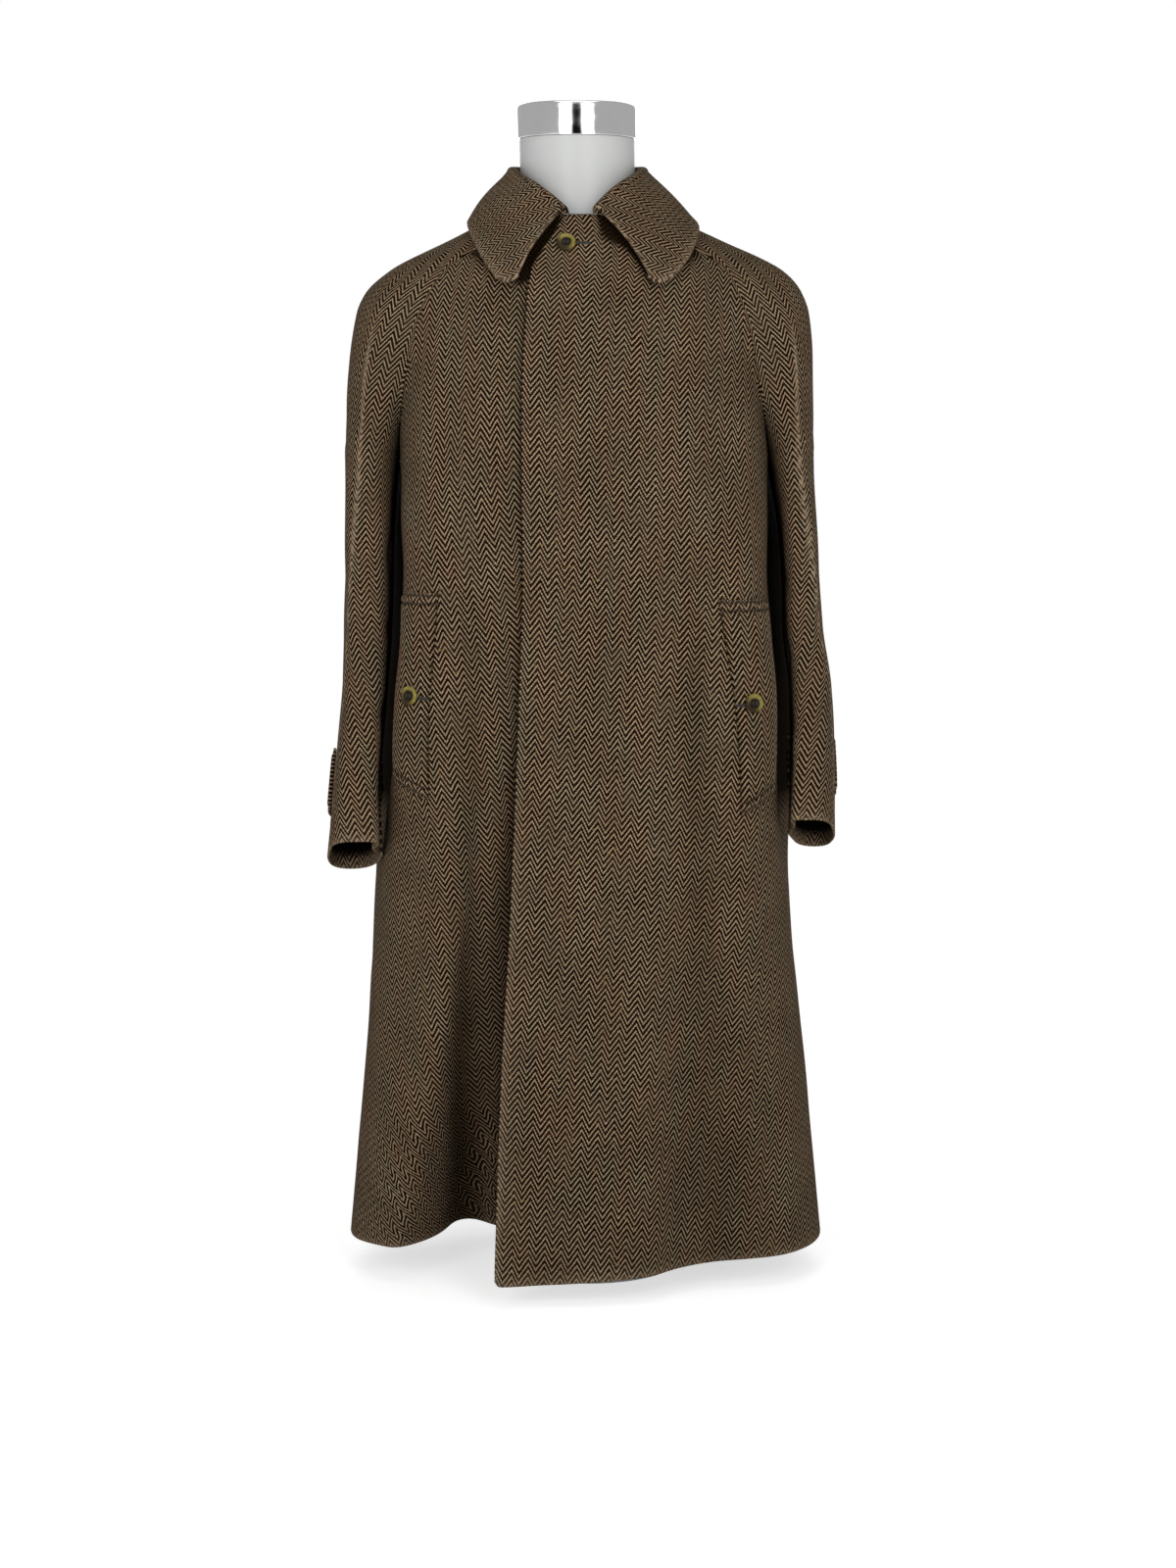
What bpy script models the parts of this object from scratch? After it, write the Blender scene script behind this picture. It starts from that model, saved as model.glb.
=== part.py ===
"""Herringbone tweed overcoat with raglan sleeves, resting on a limbless dress form.

Metres, +Z up. The coat's front faces -Y and the wearer's left is +X. The origin is on the
floor under the neck, within the foot of the form's round base.
"""

import functools
import math
from types import SimpleNamespace

import bpy
import numpy as np

# Plain colours of the solids
TWEED_COLOUR = (0.100, 0.070, 0.044)
HORN_COLOUR = (0.110, 0.085, 0.030)
WHITE_COLOUR = (0.800, 0.800, 0.790)
CHROME_COLOUR = (0.780, 0.780, 0.770)

# How finely sections are drawn before points are taken from them
LINE_POINTS = 240
SOFTEN_STEP = 0.001
NORMAL_STEP_Z = 0.0015
NORMAL_STEP_SHARE = 0.004

# Cloth sizes
WALL = 0.0024            # one layer of coat tweed
SEAM = 0.0003            # gap left between two pieces
COLLAR_WALL = 0.0040     # two layers and their stiffening
WELT_WALL = 0.0036       # folded pocket welt
STRAP_WALL = 0.0044      # double cuff strap

# Heights of the main lines above the floor
NECK_Z = 1.137
UNDERARM_Z = 0.880
SEAM_STEP = 0.004        # height over which a seam's slope is measured
STEEPEST_SEAM = 0.15     # least sine of a seam's slope that widens its gap
STEADY_ABOVE = 0.090     # columns of points move slowly over this much above the underarm
STEADY_BELOW = 0.140     # and this much below it
SEAM_PULL = 4            # how closely the seam's own jump stays beside the seam
HEM_Z = 0.040
CUFF_Z = {"left": 0.485, "right": 0.462}
SLEEVE_SQUARER = 1.6     # more power of the oval over the front of the arm
SLEEVE_SQUARE_RUN = 0.100    # reached this far below the underarm
WAY = {"left": 1.0, "right": -1.0}

# Height of each front's hem at its free edge above HEM_Z, growing towards the hem
HEM_DROP = {"left": -0.016, "right": 0.005}
HEM_DROP_POWER = 3

# Pocket welts: heights, and their sewn and free edges as shares of the front's width
WELT_TOP_Z = 0.737
WELT_BOTTOM_Z = 0.528
WELT_BUTTON_Z = 0.632
WELT_SEWN_TOP = {"left": 0.515, "right": 0.5085}
WELT_SEWN_BOTTOM = {"left": 0.5745, "right": 0.5205}
WELT_FREE = {"left": 0.681, "right": 0.650}
WELT_BUTTON_SHARE = {"left": 0.5895, "right": 0.5680}

# Cuff straps, measured up from the cuff
STRAP_LOW = 0.048
STRAP_HIGH = 0.110
STRAP_BUTTON_SHARE = 0.34

# Buttons
BUTTON_RADIUS = 0.0100
BUTTON_HEIGHT = 0.0042
BUTTON_SIDES = 16
BUTTON_PATCH = 0.8       # of the radius, the cloth that a button rests on
BUTTON_PROFILE = (       # radius and height as shares, from the middle of the back to that of the face
    (0.00, 0.00), (0.78, 0.00), (1.00, 0.35), (0.97, 0.80), (0.84, 1.00), (0.62, 0.72), (0.00, 0.68))
COLLAR_BUTTON_X = -0.0200
COLLAR_BUTTON_Z = 1.1070

# Collar
ROLL_RADIUS = 0.0040
ROLL_END_RADIUS = 0.0026
COLLAR_POINT_RADIUS = 0.012
COLLAR_EDGE_LENGTH = 0.190    # outer edge from the centre back to a point
COLLAR_END_POWER = 8          # how closely the changes at the front ends keep to them
COLLAR_BOW_LIFT = 0.6         # upward part of the arch's direction
COLLAR_BOW = 0.0025           # how far the fall arches
COLLAR_END_FRACTION = 0.085   # of the half neckline, left free beside the centre front
COLLAR_END_SHIFT = {"left": 0.0, "right": 0.0050}
COLLAR_HOLLOW = {"left": 0.0, "right": 0.0050}    # of the leaf's front edge
COLLAR_END_LIFT = 0.0018      # more of it at the front ends
COLLAR_LIFT = 0.0004          # middle of the stand's foot above the neck edge

# Dress form
NECK_RADIUS = 0.0605
NECK_TOP_Z = 1.2115
CAP_RADIUS = 0.0630
CAP_TOP_Z = 1.2470
CAP_RIM = 0.0040
CAP_EDGE = 0.0010
TORSO_BOTTOM_Z = 0.440
POLE_RADIUS = 0.016
POLE_X = 0.008
POLE_Y = 0.010
BASE_RADIUS = 0.100
BASE_HEIGHT = 0.009
BASE_EDGE = 0.003
FORM_SIDES = 32
CAP_SIDES = 40
POLE_SIDES = 20
BASE_SIDES = 48


def smooth_read(keys, values, at):
    """Read a table column between its rows with a monotone cubic."""
    at = min(max(at, keys[0]), keys[-1])
    gaps = np.diff(keys)
    slopes = np.diff(values) / gaps
    tangents = np.empty(len(keys))
    tangents[0] = slopes[0]
    tangents[-1] = slopes[-1]
    for i in range(1, len(keys) - 1):
        before, after = slopes[i - 1], slopes[i]
        if before * after <= 0.0:
            tangents[i] = 0.0
        else:
            w1 = 2.0 * gaps[i] + gaps[i - 1]
            w2 = gaps[i] + 2.0 * gaps[i - 1]
            tangents[i] = (w1 + w2) / (w1 / before + w2 / after)
    i = int(min(np.searchsorted(keys, at, side="right") - 1, len(keys) - 2))
    t = (at - keys[i]) / gaps[i]
    h = gaps[i]
    return ((1 + 2 * t) * (1 - t) ** 2 * values[i] + t * (1 - t) ** 2 * h * tangents[i]
            + t * t * (3 - 2 * t) * values[i + 1] + t * t * (t - 1) * h * tangents[i + 1])


class Sizes:
    """A short table of named columns; the first column is the key."""

    def __init__(self, names, rows):
        self.names = names.split()
        ordered = np.array(sorted(rows), float)
        self.columns = {name: ordered[:, i] for i, name in enumerate(self.names)}

    def at(self, key):
        keys = self.columns[self.names[0]]
        return SimpleNamespace(**{name: float(smooth_read(keys, column, key))
                                  for name, column in self.columns.items()})


# Body oval at each height: half widths, depth of the back, how much wider the back is than
# the side seam and how far behind it, and the softness of the valley where the sleeve
# leaves the body; tilt lifts the back and lowers the front near the neck
BODY = Sizes("z left right back back_power flare_left flare_right flare_y tilt blend", (
    (1.137, 0.0740, 0.0740, 0.072, 2.0, 0.000, 0.000, 0.000, 0.10, 0.004),
    (1.108, 0.1150, 0.1150, 0.088, 2.1, 0.000, 0.000, 0.000, 0.08, 0.012),
    (1.075, 0.1650, 0.1650, 0.103, 2.3, 0.000, 0.000, 0.000, 0.06, 0.018),
    (1.030, 0.1830, 0.1830, 0.117, 2.5, 0.000, 0.000, 0.000, 0.03, 0.016),
    (0.980, 0.1920, 0.1900, 0.127, 2.7, 0.000, 0.000, 0.010, 0.01, 0.011),
    (0.930, 0.1970, 0.1920, 0.133, 2.8, 0.000, 0.000, 0.030, 0.00, 0.006),
    (0.880, 0.1980, 0.1905, 0.138, 2.8, 0.000, 0.000, 0.050, 0.00, 0.003),
    (0.852, 0.1976, 0.1890, 0.140, 2.75, 0.0100, 0.0096, 0.080, 0.00, 0.002),
    (0.820, 0.1966, 0.1872, 0.142, 2.7, 0.0174, 0.0163, 0.083, 0.00, 0.004),
    (0.765, 0.1955, 0.1845, 0.146, 2.6, 0.0277, 0.0230, 0.088, 0.00, 0.006),
    (0.697, 0.2007, 0.1855, 0.149, 2.5, 0.0277, 0.0260, 0.085, 0.00, 0.007),
    (0.634, 0.2062, 0.1905, 0.152, 2.5, 0.0274, 0.0260, 0.080, 0.00, 0.007),
    (0.540, 0.2090, 0.2000, 0.156, 2.5, 0.0250, 0.0240, 0.070, 0.00, 0.007),
    (0.420, 0.2212, 0.2180, 0.162, 2.5, 0.0065, 0.0067, 0.030, 0.00, 0.007),
    (0.260, 0.2400, 0.2307, 0.170, 2.4, 0.000, 0.000, 0.000, 0.00, 0.004),
    (0.040, 0.2626, 0.2512, 0.180, 2.4, 0.000, 0.000, 0.000, 0.00, 0.004)))

# The over front: its foremost line, how far forward that is, and its free edge
OVER = Sizes("z turn front power edge", (
    (1.137, 0.000, 0.085, 2.0, -0.017),
    (1.108, 0.000, 0.098, 2.1, -0.038),
    (1.084, 0.000, 0.109, 2.2, -0.055),
    (1.030, 0.000, 0.128, 2.5, -0.057),
    (0.980, 0.000, 0.140, 2.8, -0.058),
    (0.930, 0.000, 0.148, 3.0, -0.058),
    (0.880, 0.000, 0.153, 3.3, -0.058),
    (0.765, 0.000, 0.160, 6.0, -0.057),
    (0.634, -0.010, 0.168, 6.5, -0.061),
    (0.420, -0.045, 0.176, 3.4, -0.070),
    (0.250, -0.070, 0.182, 2.6, -0.080),
    (0.040, -0.088, 0.187, 2.3, -0.088)))

# The under front, mirrored: its own depth, and how it sinks behind the over front's edge
UNDER = Sizes("z turn front power edge sink ramp reach", (
    (1.137, 0.000, 0.085, 2.0, -0.014, 0.0052, 0.025, 0.004),
    (1.108, 0.000, 0.098, 2.1, -0.024, 0.0055, 0.028, 0.004),
    (1.084, 0.000, 0.109, 2.2, -0.032, 0.0058, 0.030, 0.004),
    (1.030, 0.000, 0.128, 2.5, -0.036, 0.0060, 0.030, 0.004),
    (0.980, 0.000, 0.140, 2.8, -0.038, 0.0062, 0.030, 0.004),
    (0.930, 0.000, 0.148, 3.0, -0.038, 0.0064, 0.030, 0.004),
    (0.880, 0.000, 0.153, 3.2, -0.038, 0.0066, 0.030, 0.004),
    (0.765, 0.000, 0.160, 7.0, -0.038, 0.0075, 0.032, 0.004),
    (0.634, 0.000, 0.166, 8.0, -0.036, 0.0110, 0.038, 0.004),
    (0.540, 0.000, 0.1645, 5.4, -0.0334, 0.0158, 0.0425, 0.0032),
    (0.420, 0.000, 0.160, 2.7, -0.028, 0.0260, 0.050, 0.002),
    (0.250, 0.000, 0.148, 2.6, -0.010, 0.0620, 0.075, 0.005),
    (0.040, 0.000, 0.130, 2.6, 0.025, 0.1180, 0.090, 0.027)))

# Sleeves: outer line, half width, half depth, middle and the forward pitch of the arm
SLEEVE = Sizes("z out_left half_left out_right half_right depth mid power tilt swing", (
    (1.137, 0.0780, 0.0380, 0.0780, 0.0380, 0.062, 0.000, 2.0, 0.00, 0.00),
    (1.108, 0.1410, 0.0450, 0.1410, 0.0450, 0.055, 0.000, 2.0, 0.00, 0.00),
    (1.075, 0.2100, 0.0540, 0.2100, 0.0540, 0.062, 0.000, 2.1, 0.00, 0.00),
    (1.051, 0.2320, 0.0540, 0.2320, 0.0540, 0.069, 0.000, 2.2, 0.00, 0.00),
    (1.030, 0.2400, 0.0500, 0.2400, 0.0500, 0.075, 0.000, 2.2, 0.00, 0.00),
    (0.980, 0.2455, 0.0420, 0.2455, 0.0430, 0.085, 0.000, 2.3, 0.00, 0.00),
    (0.930, 0.2470, 0.0325, 0.2475, 0.0353, 0.090, 0.000, 2.4, 0.00, 0.00),
    (0.880, 0.2475, 0.0242, 0.2485, 0.0282, 0.092, 0.000, 2.4, 0.00, 0.00),
    (0.765, 0.2525, 0.0190, 0.2485, 0.0249, 0.087, -0.014, 2.4, 0.08, 0.02),
    (0.697, 0.2565, 0.0202, 0.2502, 0.0250, 0.083, -0.025, 2.4, 0.15, 0.04),
    (0.634, 0.2665, 0.0222, 0.2522, 0.0238, 0.078, -0.038, 2.4, 0.22, 0.06),
    (0.550, 0.2700, 0.0240, 0.2600, 0.0246, 0.071, -0.060, 2.4, 0.30, 0.10),
    (0.460, 0.2690, 0.0252, 0.2671, 0.0295, 0.066, -0.078, 2.4, 0.36, 0.14)))

# Largest folds of the panels: where each runs, as a share of the panel's width at its two
# ends, its half width and how deep it is at its lower end (minus is a trough)
FOLDS = {
    "left front": Sizes("z share width depth", (
        (0.040, 0.52, 0.070, -0.026), (0.300, 0.50, 0.060, -0.012), (0.600, 0.47, 0.050, 0.0))),
    "right front": Sizes("z share width depth", (
        (0.040, 0.28, 0.050, 0.004), (0.300, 0.34, 0.050, 0.004), (0.600, 0.40, 0.050, 0.0))),
    "left back": Sizes("z share width depth", (
        (0.040, 0.45, 0.060, -0.020), (0.400, 0.48, 0.050, -0.010), (0.760, 0.52, 0.040, 0.0))),
    "right back": Sizes("z share width depth", (
        (0.040, 0.50, 0.060, -0.018), (0.400, 0.52, 0.050, -0.010), (0.760, 0.55, 0.040, 0.0))),
    "left sleeve front": Sizes("z share width depth", (
        (0.460, 0.20, 0.022, -0.009), (0.560, 0.22, 0.022, -0.004), (0.640, 0.25, 0.020, 0.0))),
    "right sleeve front": Sizes("z share width depth", (
        (0.460, 0.16, 0.024, -0.011), (0.560, 0.18, 0.022, -0.004), (0.640, 0.20, 0.020, 0.0))),
}

# Sideways lean of the whole coat and of the form's neck
LEAN = Sizes("z x", (
    (1.250, -0.0040), (1.160, -0.0020), (1.137, 0.0000), (1.108, 0.0050), (1.075, 0.0065),
    (1.050, 0.0040), (1.000, 0.0020), (0.930, 0.0000), (0.000, 0.0000)))

# Collar, from the centre back (0) round to the front end (1): roll line and outer edge
COLLAR = Sizes("share roll_x roll_y roll_z edge_x edge_y edge_z", (
    (0.00, 0.0000, 0.0690, 1.1850, 0.0000, 0.1080, 1.1270),
    (0.18, 0.0330, 0.0620, 1.1850, 0.0530, 0.0980, 1.1260),
    (0.36, 0.0590, 0.0400, 1.1840, 0.0970, 0.0650, 1.1240),
    (0.52, 0.0690, 0.0030, 1.1815, 0.1180, 0.0080, 1.1255),
    (0.66, 0.0625, -0.0370, 1.1730, 0.1190, -0.0340, 1.1180),
    (0.80, 0.0460, -0.0670, 1.1615, 0.1090, -0.0800, 1.0930),
    (0.92, 0.0265, -0.0850, 1.1450, 0.0890, -0.1160, 1.0660),
    (1.00, 0.0150, -0.0900, 1.1362, 0.0720, -0.1290, 1.0540)))

# Rings of the form from the neck to the flat bottom: half width, front and back depths and power
FORM = (
    (NECK_TOP_Z, NECK_RADIUS, NECK_RADIUS, NECK_RADIUS, 2.00),
    (1.180, NECK_RADIUS, NECK_RADIUS, NECK_RADIUS, 2.00),
    (1.150, NECK_RADIUS, NECK_RADIUS, NECK_RADIUS, 2.00),
    (1.132, 0.0640, 0.0620, 0.0620, 2.00),
    (1.120, 0.1050, 0.0630, 0.0630, 2.00),
    (1.108, 0.1312, 0.0651, 0.0651, 2.00),
    (1.094, 0.1625, 0.0675, 0.0675, 2.00),
    (1.080, 0.1880, 0.0700, 0.0690, 2.05),
    (1.066, 0.1935, 0.0720, 0.0705, 2.10),
    (1.052, 0.1950, 0.0740, 0.0730, 2.15),
    (1.036, 0.1945, 0.0803, 0.0780, 2.20),
    (1.010, 0.1880, 0.0940, 0.0900, 2.20),
    (0.970, 0.1744, 0.1098, 0.1025, 2.29),
    (0.920, 0.1665, 0.1176, 0.1069, 2.30),
    (0.860, 0.1592, 0.1191, 0.1072, 2.29),
    (0.780, 0.1480, 0.1080, 0.0980, 2.20),
    (0.700, 0.1402, 0.1002, 0.0941, 2.20),
    (0.620, 0.1500, 0.1056, 0.1027, 2.20),
    (0.540, 0.1587, 0.1080, 0.1107, 2.20),
    (0.480, 0.1589, 0.1069, 0.1113, 2.20),
    (0.450, 0.1551, 0.1031, 0.1088, 2.20),
    (TORSO_BOTTOM_Z, 0.1500, 0.0980, 0.1040, 2.20))


def clear_scene():
    for obj in list(bpy.data.objects):
        bpy.data.objects.remove(obj, do_unlink=True)


def make_material(name, colour, roughness, metallic=0.0):
    material = bpy.data.materials.new(name)
    material.use_nodes = True
    shader = material.node_tree.nodes["Principled BSDF"]
    shader.inputs["Base Color"].default_value = (*colour, 1.0)
    shader.inputs["Roughness"].default_value = roughness
    shader.inputs["Metallic"].default_value = metallic
    material.diffuse_color = (*colour, 1.0)
    return material


def add_object(name, points, faces, material, lean=True):
    """Make one closed object whose faces point out."""
    points = np.array(points, float)
    if lean:
        points[:, 0] += [LEAN.at(z).x for z in points[:, 2]]
    volume = 0.0
    for face in faces:
        for i in range(1, len(face) - 1):
            a, b, c = points[face[0]], points[face[i]], points[face[i + 1]]
            volume += float(np.dot(a, np.cross(b, c)))
    if volume < 0.0:
        faces = [tuple(reversed(face)) for face in faces]
    mesh = bpy.data.meshes.new(name)
    mesh.from_pydata(points.tolist(), [], [tuple(face) for face in faces])
    mesh.shade_smooth()
    mesh.set_sharp_from_angle(angle=math.radians(50))
    mesh.materials.append(material)
    obj = bpy.data.objects.new(name, mesh)
    bpy.context.collection.objects.link(obj)
    return obj


def slab(name, outer, inner, material):
    """Close two matching grids of points into one wall."""
    rows, columns = outer.shape[:2]
    count = rows * columns
    points = np.concatenate((outer.reshape(count, 3), inner.reshape(count, 3)))
    faces = []
    for i in range(rows - 1):
        for j in range(columns - 1):
            a, b = i * columns + j, i * columns + j + 1
            c, d = a + columns, b + columns
            if np.linalg.norm(points[a] - points[d]) <= np.linalg.norm(points[b] - points[c]):
                halves = ((a, b, d), (a, d, c))
            else:
                halves = ((a, b, c), (b, d, c))
            for half in halves:
                faces.append(half)
                faces.append(tuple(count + corner for corner in reversed(half)))
    border = [j for j in range(columns)]
    border += [i * columns + columns - 1 for i in range(1, rows)]
    border += [(rows - 1) * columns + j for j in range(columns - 2, -1, -1)]
    border += [i * columns for i in range(rows - 2, 0, -1)]
    for a, b in zip(border, border[1:] + border[:1]):
        faces.append((b, a, count + a))
        faces.append((b, count + a, count + b))
    return add_object(name, points, faces, material)


def unit(vectors):
    length = np.linalg.norm(vectors, axis=-1, keepdims=True)
    return vectors / np.maximum(length, 1e-9)


def path_length(line):
    steps = np.linalg.norm(np.diff(line, axis=0), axis=1)
    return np.concatenate(([0.0], np.cumsum(steps)))


def along(line, distances):
    """Points at given distances along a line of points."""
    run = path_length(line)
    return np.stack([np.interp(distances, run, line[:, k]) for k in range(line.shape[1])], axis=1)


def quarter(turn, half, depth, power):
    """Quarter oval from its foremost point (turn, -depth) round to its side (half, 0)."""
    angle = np.linspace(0.0, math.pi / 2, LINE_POINTS)
    x = turn + (half - turn) * np.sin(angle) ** (2 / power)
    y = -depth * np.cos(angle) ** (2 / power)
    return np.stack((x, y), axis=1)


def sleeve_oval(side, z):
    row = SLEEVE.at(z)
    half = getattr(row, "half_" + side)
    middle_x = getattr(row, "out_" + side) - half
    return SimpleNamespace(x=middle_x, y=row.mid, half=half, depth=row.depth, power=row.power,
                           tilt=row.tilt, swing=row.swing)


def sleeve_half(side, z, facing):
    """Half a sleeve ring from the inner line to the outer line, over its front or back."""
    oval = sleeve_oval(side, z)
    angle = np.linspace(0.0, math.pi, LINE_POINTS)
    cosine = -np.cos(angle)
    power = oval.power
    if facing < 0:
        t = min(max((UNDERARM_Z - z) / SLEEVE_SQUARE_RUN, 0.0), 1.0)
        power += SLEEVE_SQUARER * t * t * (3.0 - 2.0 * t)
    x = oval.x + oval.half * np.sign(cosine) * np.abs(cosine) ** (2 / power)
    y = oval.y + facing * oval.depth * np.sin(angle) ** (2 / power)
    x = x + oval.swing * (y - oval.y)
    return np.stack((x, y), axis=1)


def body_half(side, z, facing):
    """Body oval from its middle line round to the side; facing -1 is the front."""
    row = BODY.at(z)
    half = getattr(row, side)
    if facing > 0:
        widest = half + getattr(row, "flare_" + side)
        line = quarter(0.0, widest, row.back - row.flare_y, row.back_power)
        line[:, 1] = row.flare_y - line[:, 1]
        if row.flare_y > 0.0:
            line = soften(np.concatenate((line, [(half, 0.0)])), row.blend)
        return line
    front = (OVER if side == "left" else UNDER).at(z)
    return quarter(front.turn, half, front.front, front.power)


def soften(line, width):
    """Round a line of points with a moving average; both ends are mirrored to hold them."""
    run = path_length(line)
    line = along(line, np.linspace(0.0, run[-1], int(run[-1] / SOFTEN_STEP) + 1))
    reach = max(int(3.0 * width / SOFTEN_STEP), 1)
    start = line[1:reach + 1][::-1].copy()
    start[:, 0] = 2.0 * line[0, 0] - start[:, 0]
    end = line[-reach - 1:-1][::-1].copy()
    end[:, 1] = 2.0 * line[-1, 1] - end[:, 1]
    padded = np.concatenate((start, line, end))
    kernel = np.exp(-0.5 * (np.arange(-reach, reach + 1) * SOFTEN_STEP / width) ** 2)
    kernel /= kernel.sum()
    return np.stack([np.convolve(padded[:, k], kernel, mode="valid") for k in (0, 1)], axis=1)


@functools.lru_cache(maxsize=None)
def yoke_line(side, z, facing):
    """Above the underarm: one line over body and sleeve, and how far along it the seam is."""
    body = body_half(side, z, facing)
    sleeve = sleeve_half(side, z, facing)
    oval = sleeve_oval(side, z)
    inside = (np.abs((body[:, 0] - oval.x) / oval.half) ** oval.power
              + np.abs((body[:, 1] - oval.y) / oval.depth) ** oval.power) < 1.0
    cut = int(np.argmax(inside)) if inside.any() else len(body) - 1
    near = int(np.argmin(np.linalg.norm(sleeve - body[cut], axis=1)))
    corner = body[cut]
    line = soften(np.concatenate((body[:cut], sleeve[near:])), BODY.at(z).blend)
    nearest = int(np.argmin(np.linalg.norm(line - corner, axis=1)))
    return line, path_length(line)[nearest]


@functools.lru_cache(maxsize=None)
def panel_run(kind, side, facing, z):
    """Width of a panel along its section at one level."""
    line = panel_line(kind, side, facing, z)
    return float(path_length(line)[-1])


def panel_line(kind, side, facing, z):
    """Section of a body or sleeve panel, between its seams or from a front's middle line."""
    if z >= UNDERARM_Z:
        line, seam = yoke_line(side, z, facing)
        start, end = (0.0, seam) if kind == "body" else (seam, path_length(line)[-1])
        return along(line, np.linspace(start, end, LINE_POINTS))
    if kind == "body":
        return body_half(side, z, facing)
    return sleeve_half(side, z, facing)


def steady_run(kind, side, facing, z):
    """Panel width that changes slowly past the underarm, where the true one jumps."""
    high, low = UNDERARM_Z + STEADY_ABOVE, UNDERARM_Z - STEADY_BELOW
    if z >= high or z <= low:
        return panel_run(kind, side, facing, z)
    t = (z - low) / (high - low)
    t = t * t * (3.0 - 2.0 * t)
    return (t * panel_run(kind, side, facing, high)
            + (1.0 - t) * panel_run(kind, side, facing, low))


def seam_trim(side, facing, z):
    """Half the gap at a raglan seam, wider along the level where the seam runs nearly level."""
    if z < UNDERARM_Z:
        return 0.5 * SEAM
    other = z + SEAM_STEP if z < NECK_Z - SEAM_STEP else z - SEAM_STEP
    line = panel_line("sleeve", side, facing, z)
    above = panel_line("sleeve", side, facing, other)
    way = unit(np.array((*(above[0] - line[0]), other - z)))
    level = unit(np.array((*(line[2] - line[0]), 0.0)))
    return 0.5 * SEAM / max(float(np.linalg.norm(np.cross(way, level))), STEEPEST_SEAM)


def spread_columns(shares, run, steady):
    """Distances of columns: evenly by the steady width, with the seam's jump near the seam."""
    return shares * steady + (run - steady) * shares ** SEAM_PULL


def fold_offset(name, z, shares, length):
    """How far a fold pushes the panel out at these shares of its width."""
    if name not in FOLDS:
        return np.zeros(len(shares))
    fold = FOLDS[name].at(z)
    spread = (shares - fold.share) * length / fold.width
    return fold.depth * np.exp(-spread ** 2)


def push_out(line, offsets, facing):
    """Move points of a section along its outward normal."""
    tangent = unit(np.gradient(line, axis=0))
    normal = np.stack((tangent[:, 1], -tangent[:, 0]), axis=1) * -facing
    return line + normal * offsets[:, None]


def body_row(side, facing, z, shares):
    """One level of a front (facing -1) or a back (facing +1), from its edge to its seam."""
    line = panel_line("body", side, facing, z)
    steady = steady_run("body", side, facing, z) - path_length(line)[-1]
    trim = seam_trim(side, facing, z)
    edge_trim = 0.5 * SEAM
    if facing < 0:
        front = (OVER if side == "left" else UNDER).at(z)
        beyond = line[:LINE_POINTS // 2].copy()
        beyond[:, 0] = 2.0 * line[0, 0] - beyond[:, 0]
        edge = (front.edge, np.interp(-front.edge, -beyond[:, 0], beyond[:, 1]))
        beyond = beyond[beyond[:, 0] > front.edge][1:]
        line = np.concatenate(([edge], beyond[::-1], line))
        edge_trim = 0.0
    run = path_length(line)[-1]
    shares = np.asarray(shares, float)
    places = spread_columns(shares, run, run + steady)
    flat = along(line, edge_trim + places * (run - trim - edge_trim) / run)
    name = side + (" front" if facing < 0 else " back")
    flat = push_out(flat, fold_offset(name, z, shares, run), facing)
    if facing < 0 and side == "right":
        over_edge = -OVER.at(z).edge
        ramp = (over_edge + front.reach + front.ramp - flat[:, 0]) / front.ramp
        ramp = np.clip(ramp, 0.0, 1.0)
        flat[:, 1] += front.sink * ramp * ramp * (3.0 - 2.0 * ramp)
    low = ((UNDERARM_Z - min(z, UNDERARM_Z)) / (UNDERARM_Z - HEM_Z)) ** HEM_DROP_POWER
    height = z + BODY.at(z).tilt * flat[:, 1]
    if facing < 0:
        height = height + HEM_DROP[side] * low * (1.0 - shares)
    return np.stack((WAY[side] * flat[:, 0], flat[:, 1], height), axis=1)


def sleeve_row(side, facing, z, shares):
    """One level of half a sleeve, from its raglan or under seam to the over-arm seam."""
    row = SLEEVE.at(z)
    trim = seam_trim(side, facing, z)
    line = panel_line("sleeve", side, facing, z)
    run = path_length(line)[-1]
    shares = np.asarray(shares, float)
    places = run - spread_columns(1.0 - shares, run, steady_run("sleeve", side, facing, z))
    flat = along(line, trim + places * (run - trim - 0.5 * SEAM) / run)
    name = side + " sleeve" + (" front" if facing < 0 else " back")
    flat = push_out(flat, fold_offset(name, z, shares, run), facing)
    height = z + BODY.at(z).tilt * flat[:, 1] - row.tilt * (flat[:, 1] - row.mid)
    return np.stack((WAY[side] * flat[:, 0], flat[:, 1], height), axis=1)


def grid_of(row_at, levels, shares_at):
    """Points of a panel and its outward normals, level by level."""
    points = []
    normals = []
    for z in levels:
        shares = np.asarray(shares_at(z), float)
        low = np.clip(shares - NORMAL_STEP_SHARE, 0.0, 1.0)
        high = np.clip(shares + NORMAL_STEP_SHARE, 0.0, 1.0)
        sink = z - NORMAL_STEP_Z
        if z >= UNDERARM_Z and sink < UNDERARM_Z:
            sink = z + NORMAL_STEP_Z
        across = row_at(z, high) - row_at(z, low)
        down = (row_at(sink, shares) - row_at(z, shares)) * (1.0 if sink < z else -1.0)
        points.append(row_at(z, shares))
        normals.append(unit(np.cross(across, down)))
    return np.array(points), np.array(normals)


def facing_out(normals, facing, side):
    """Turn normals so that they leave the hollow that the panel wraps."""
    return normals * (WAY[side] * facing)


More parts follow.
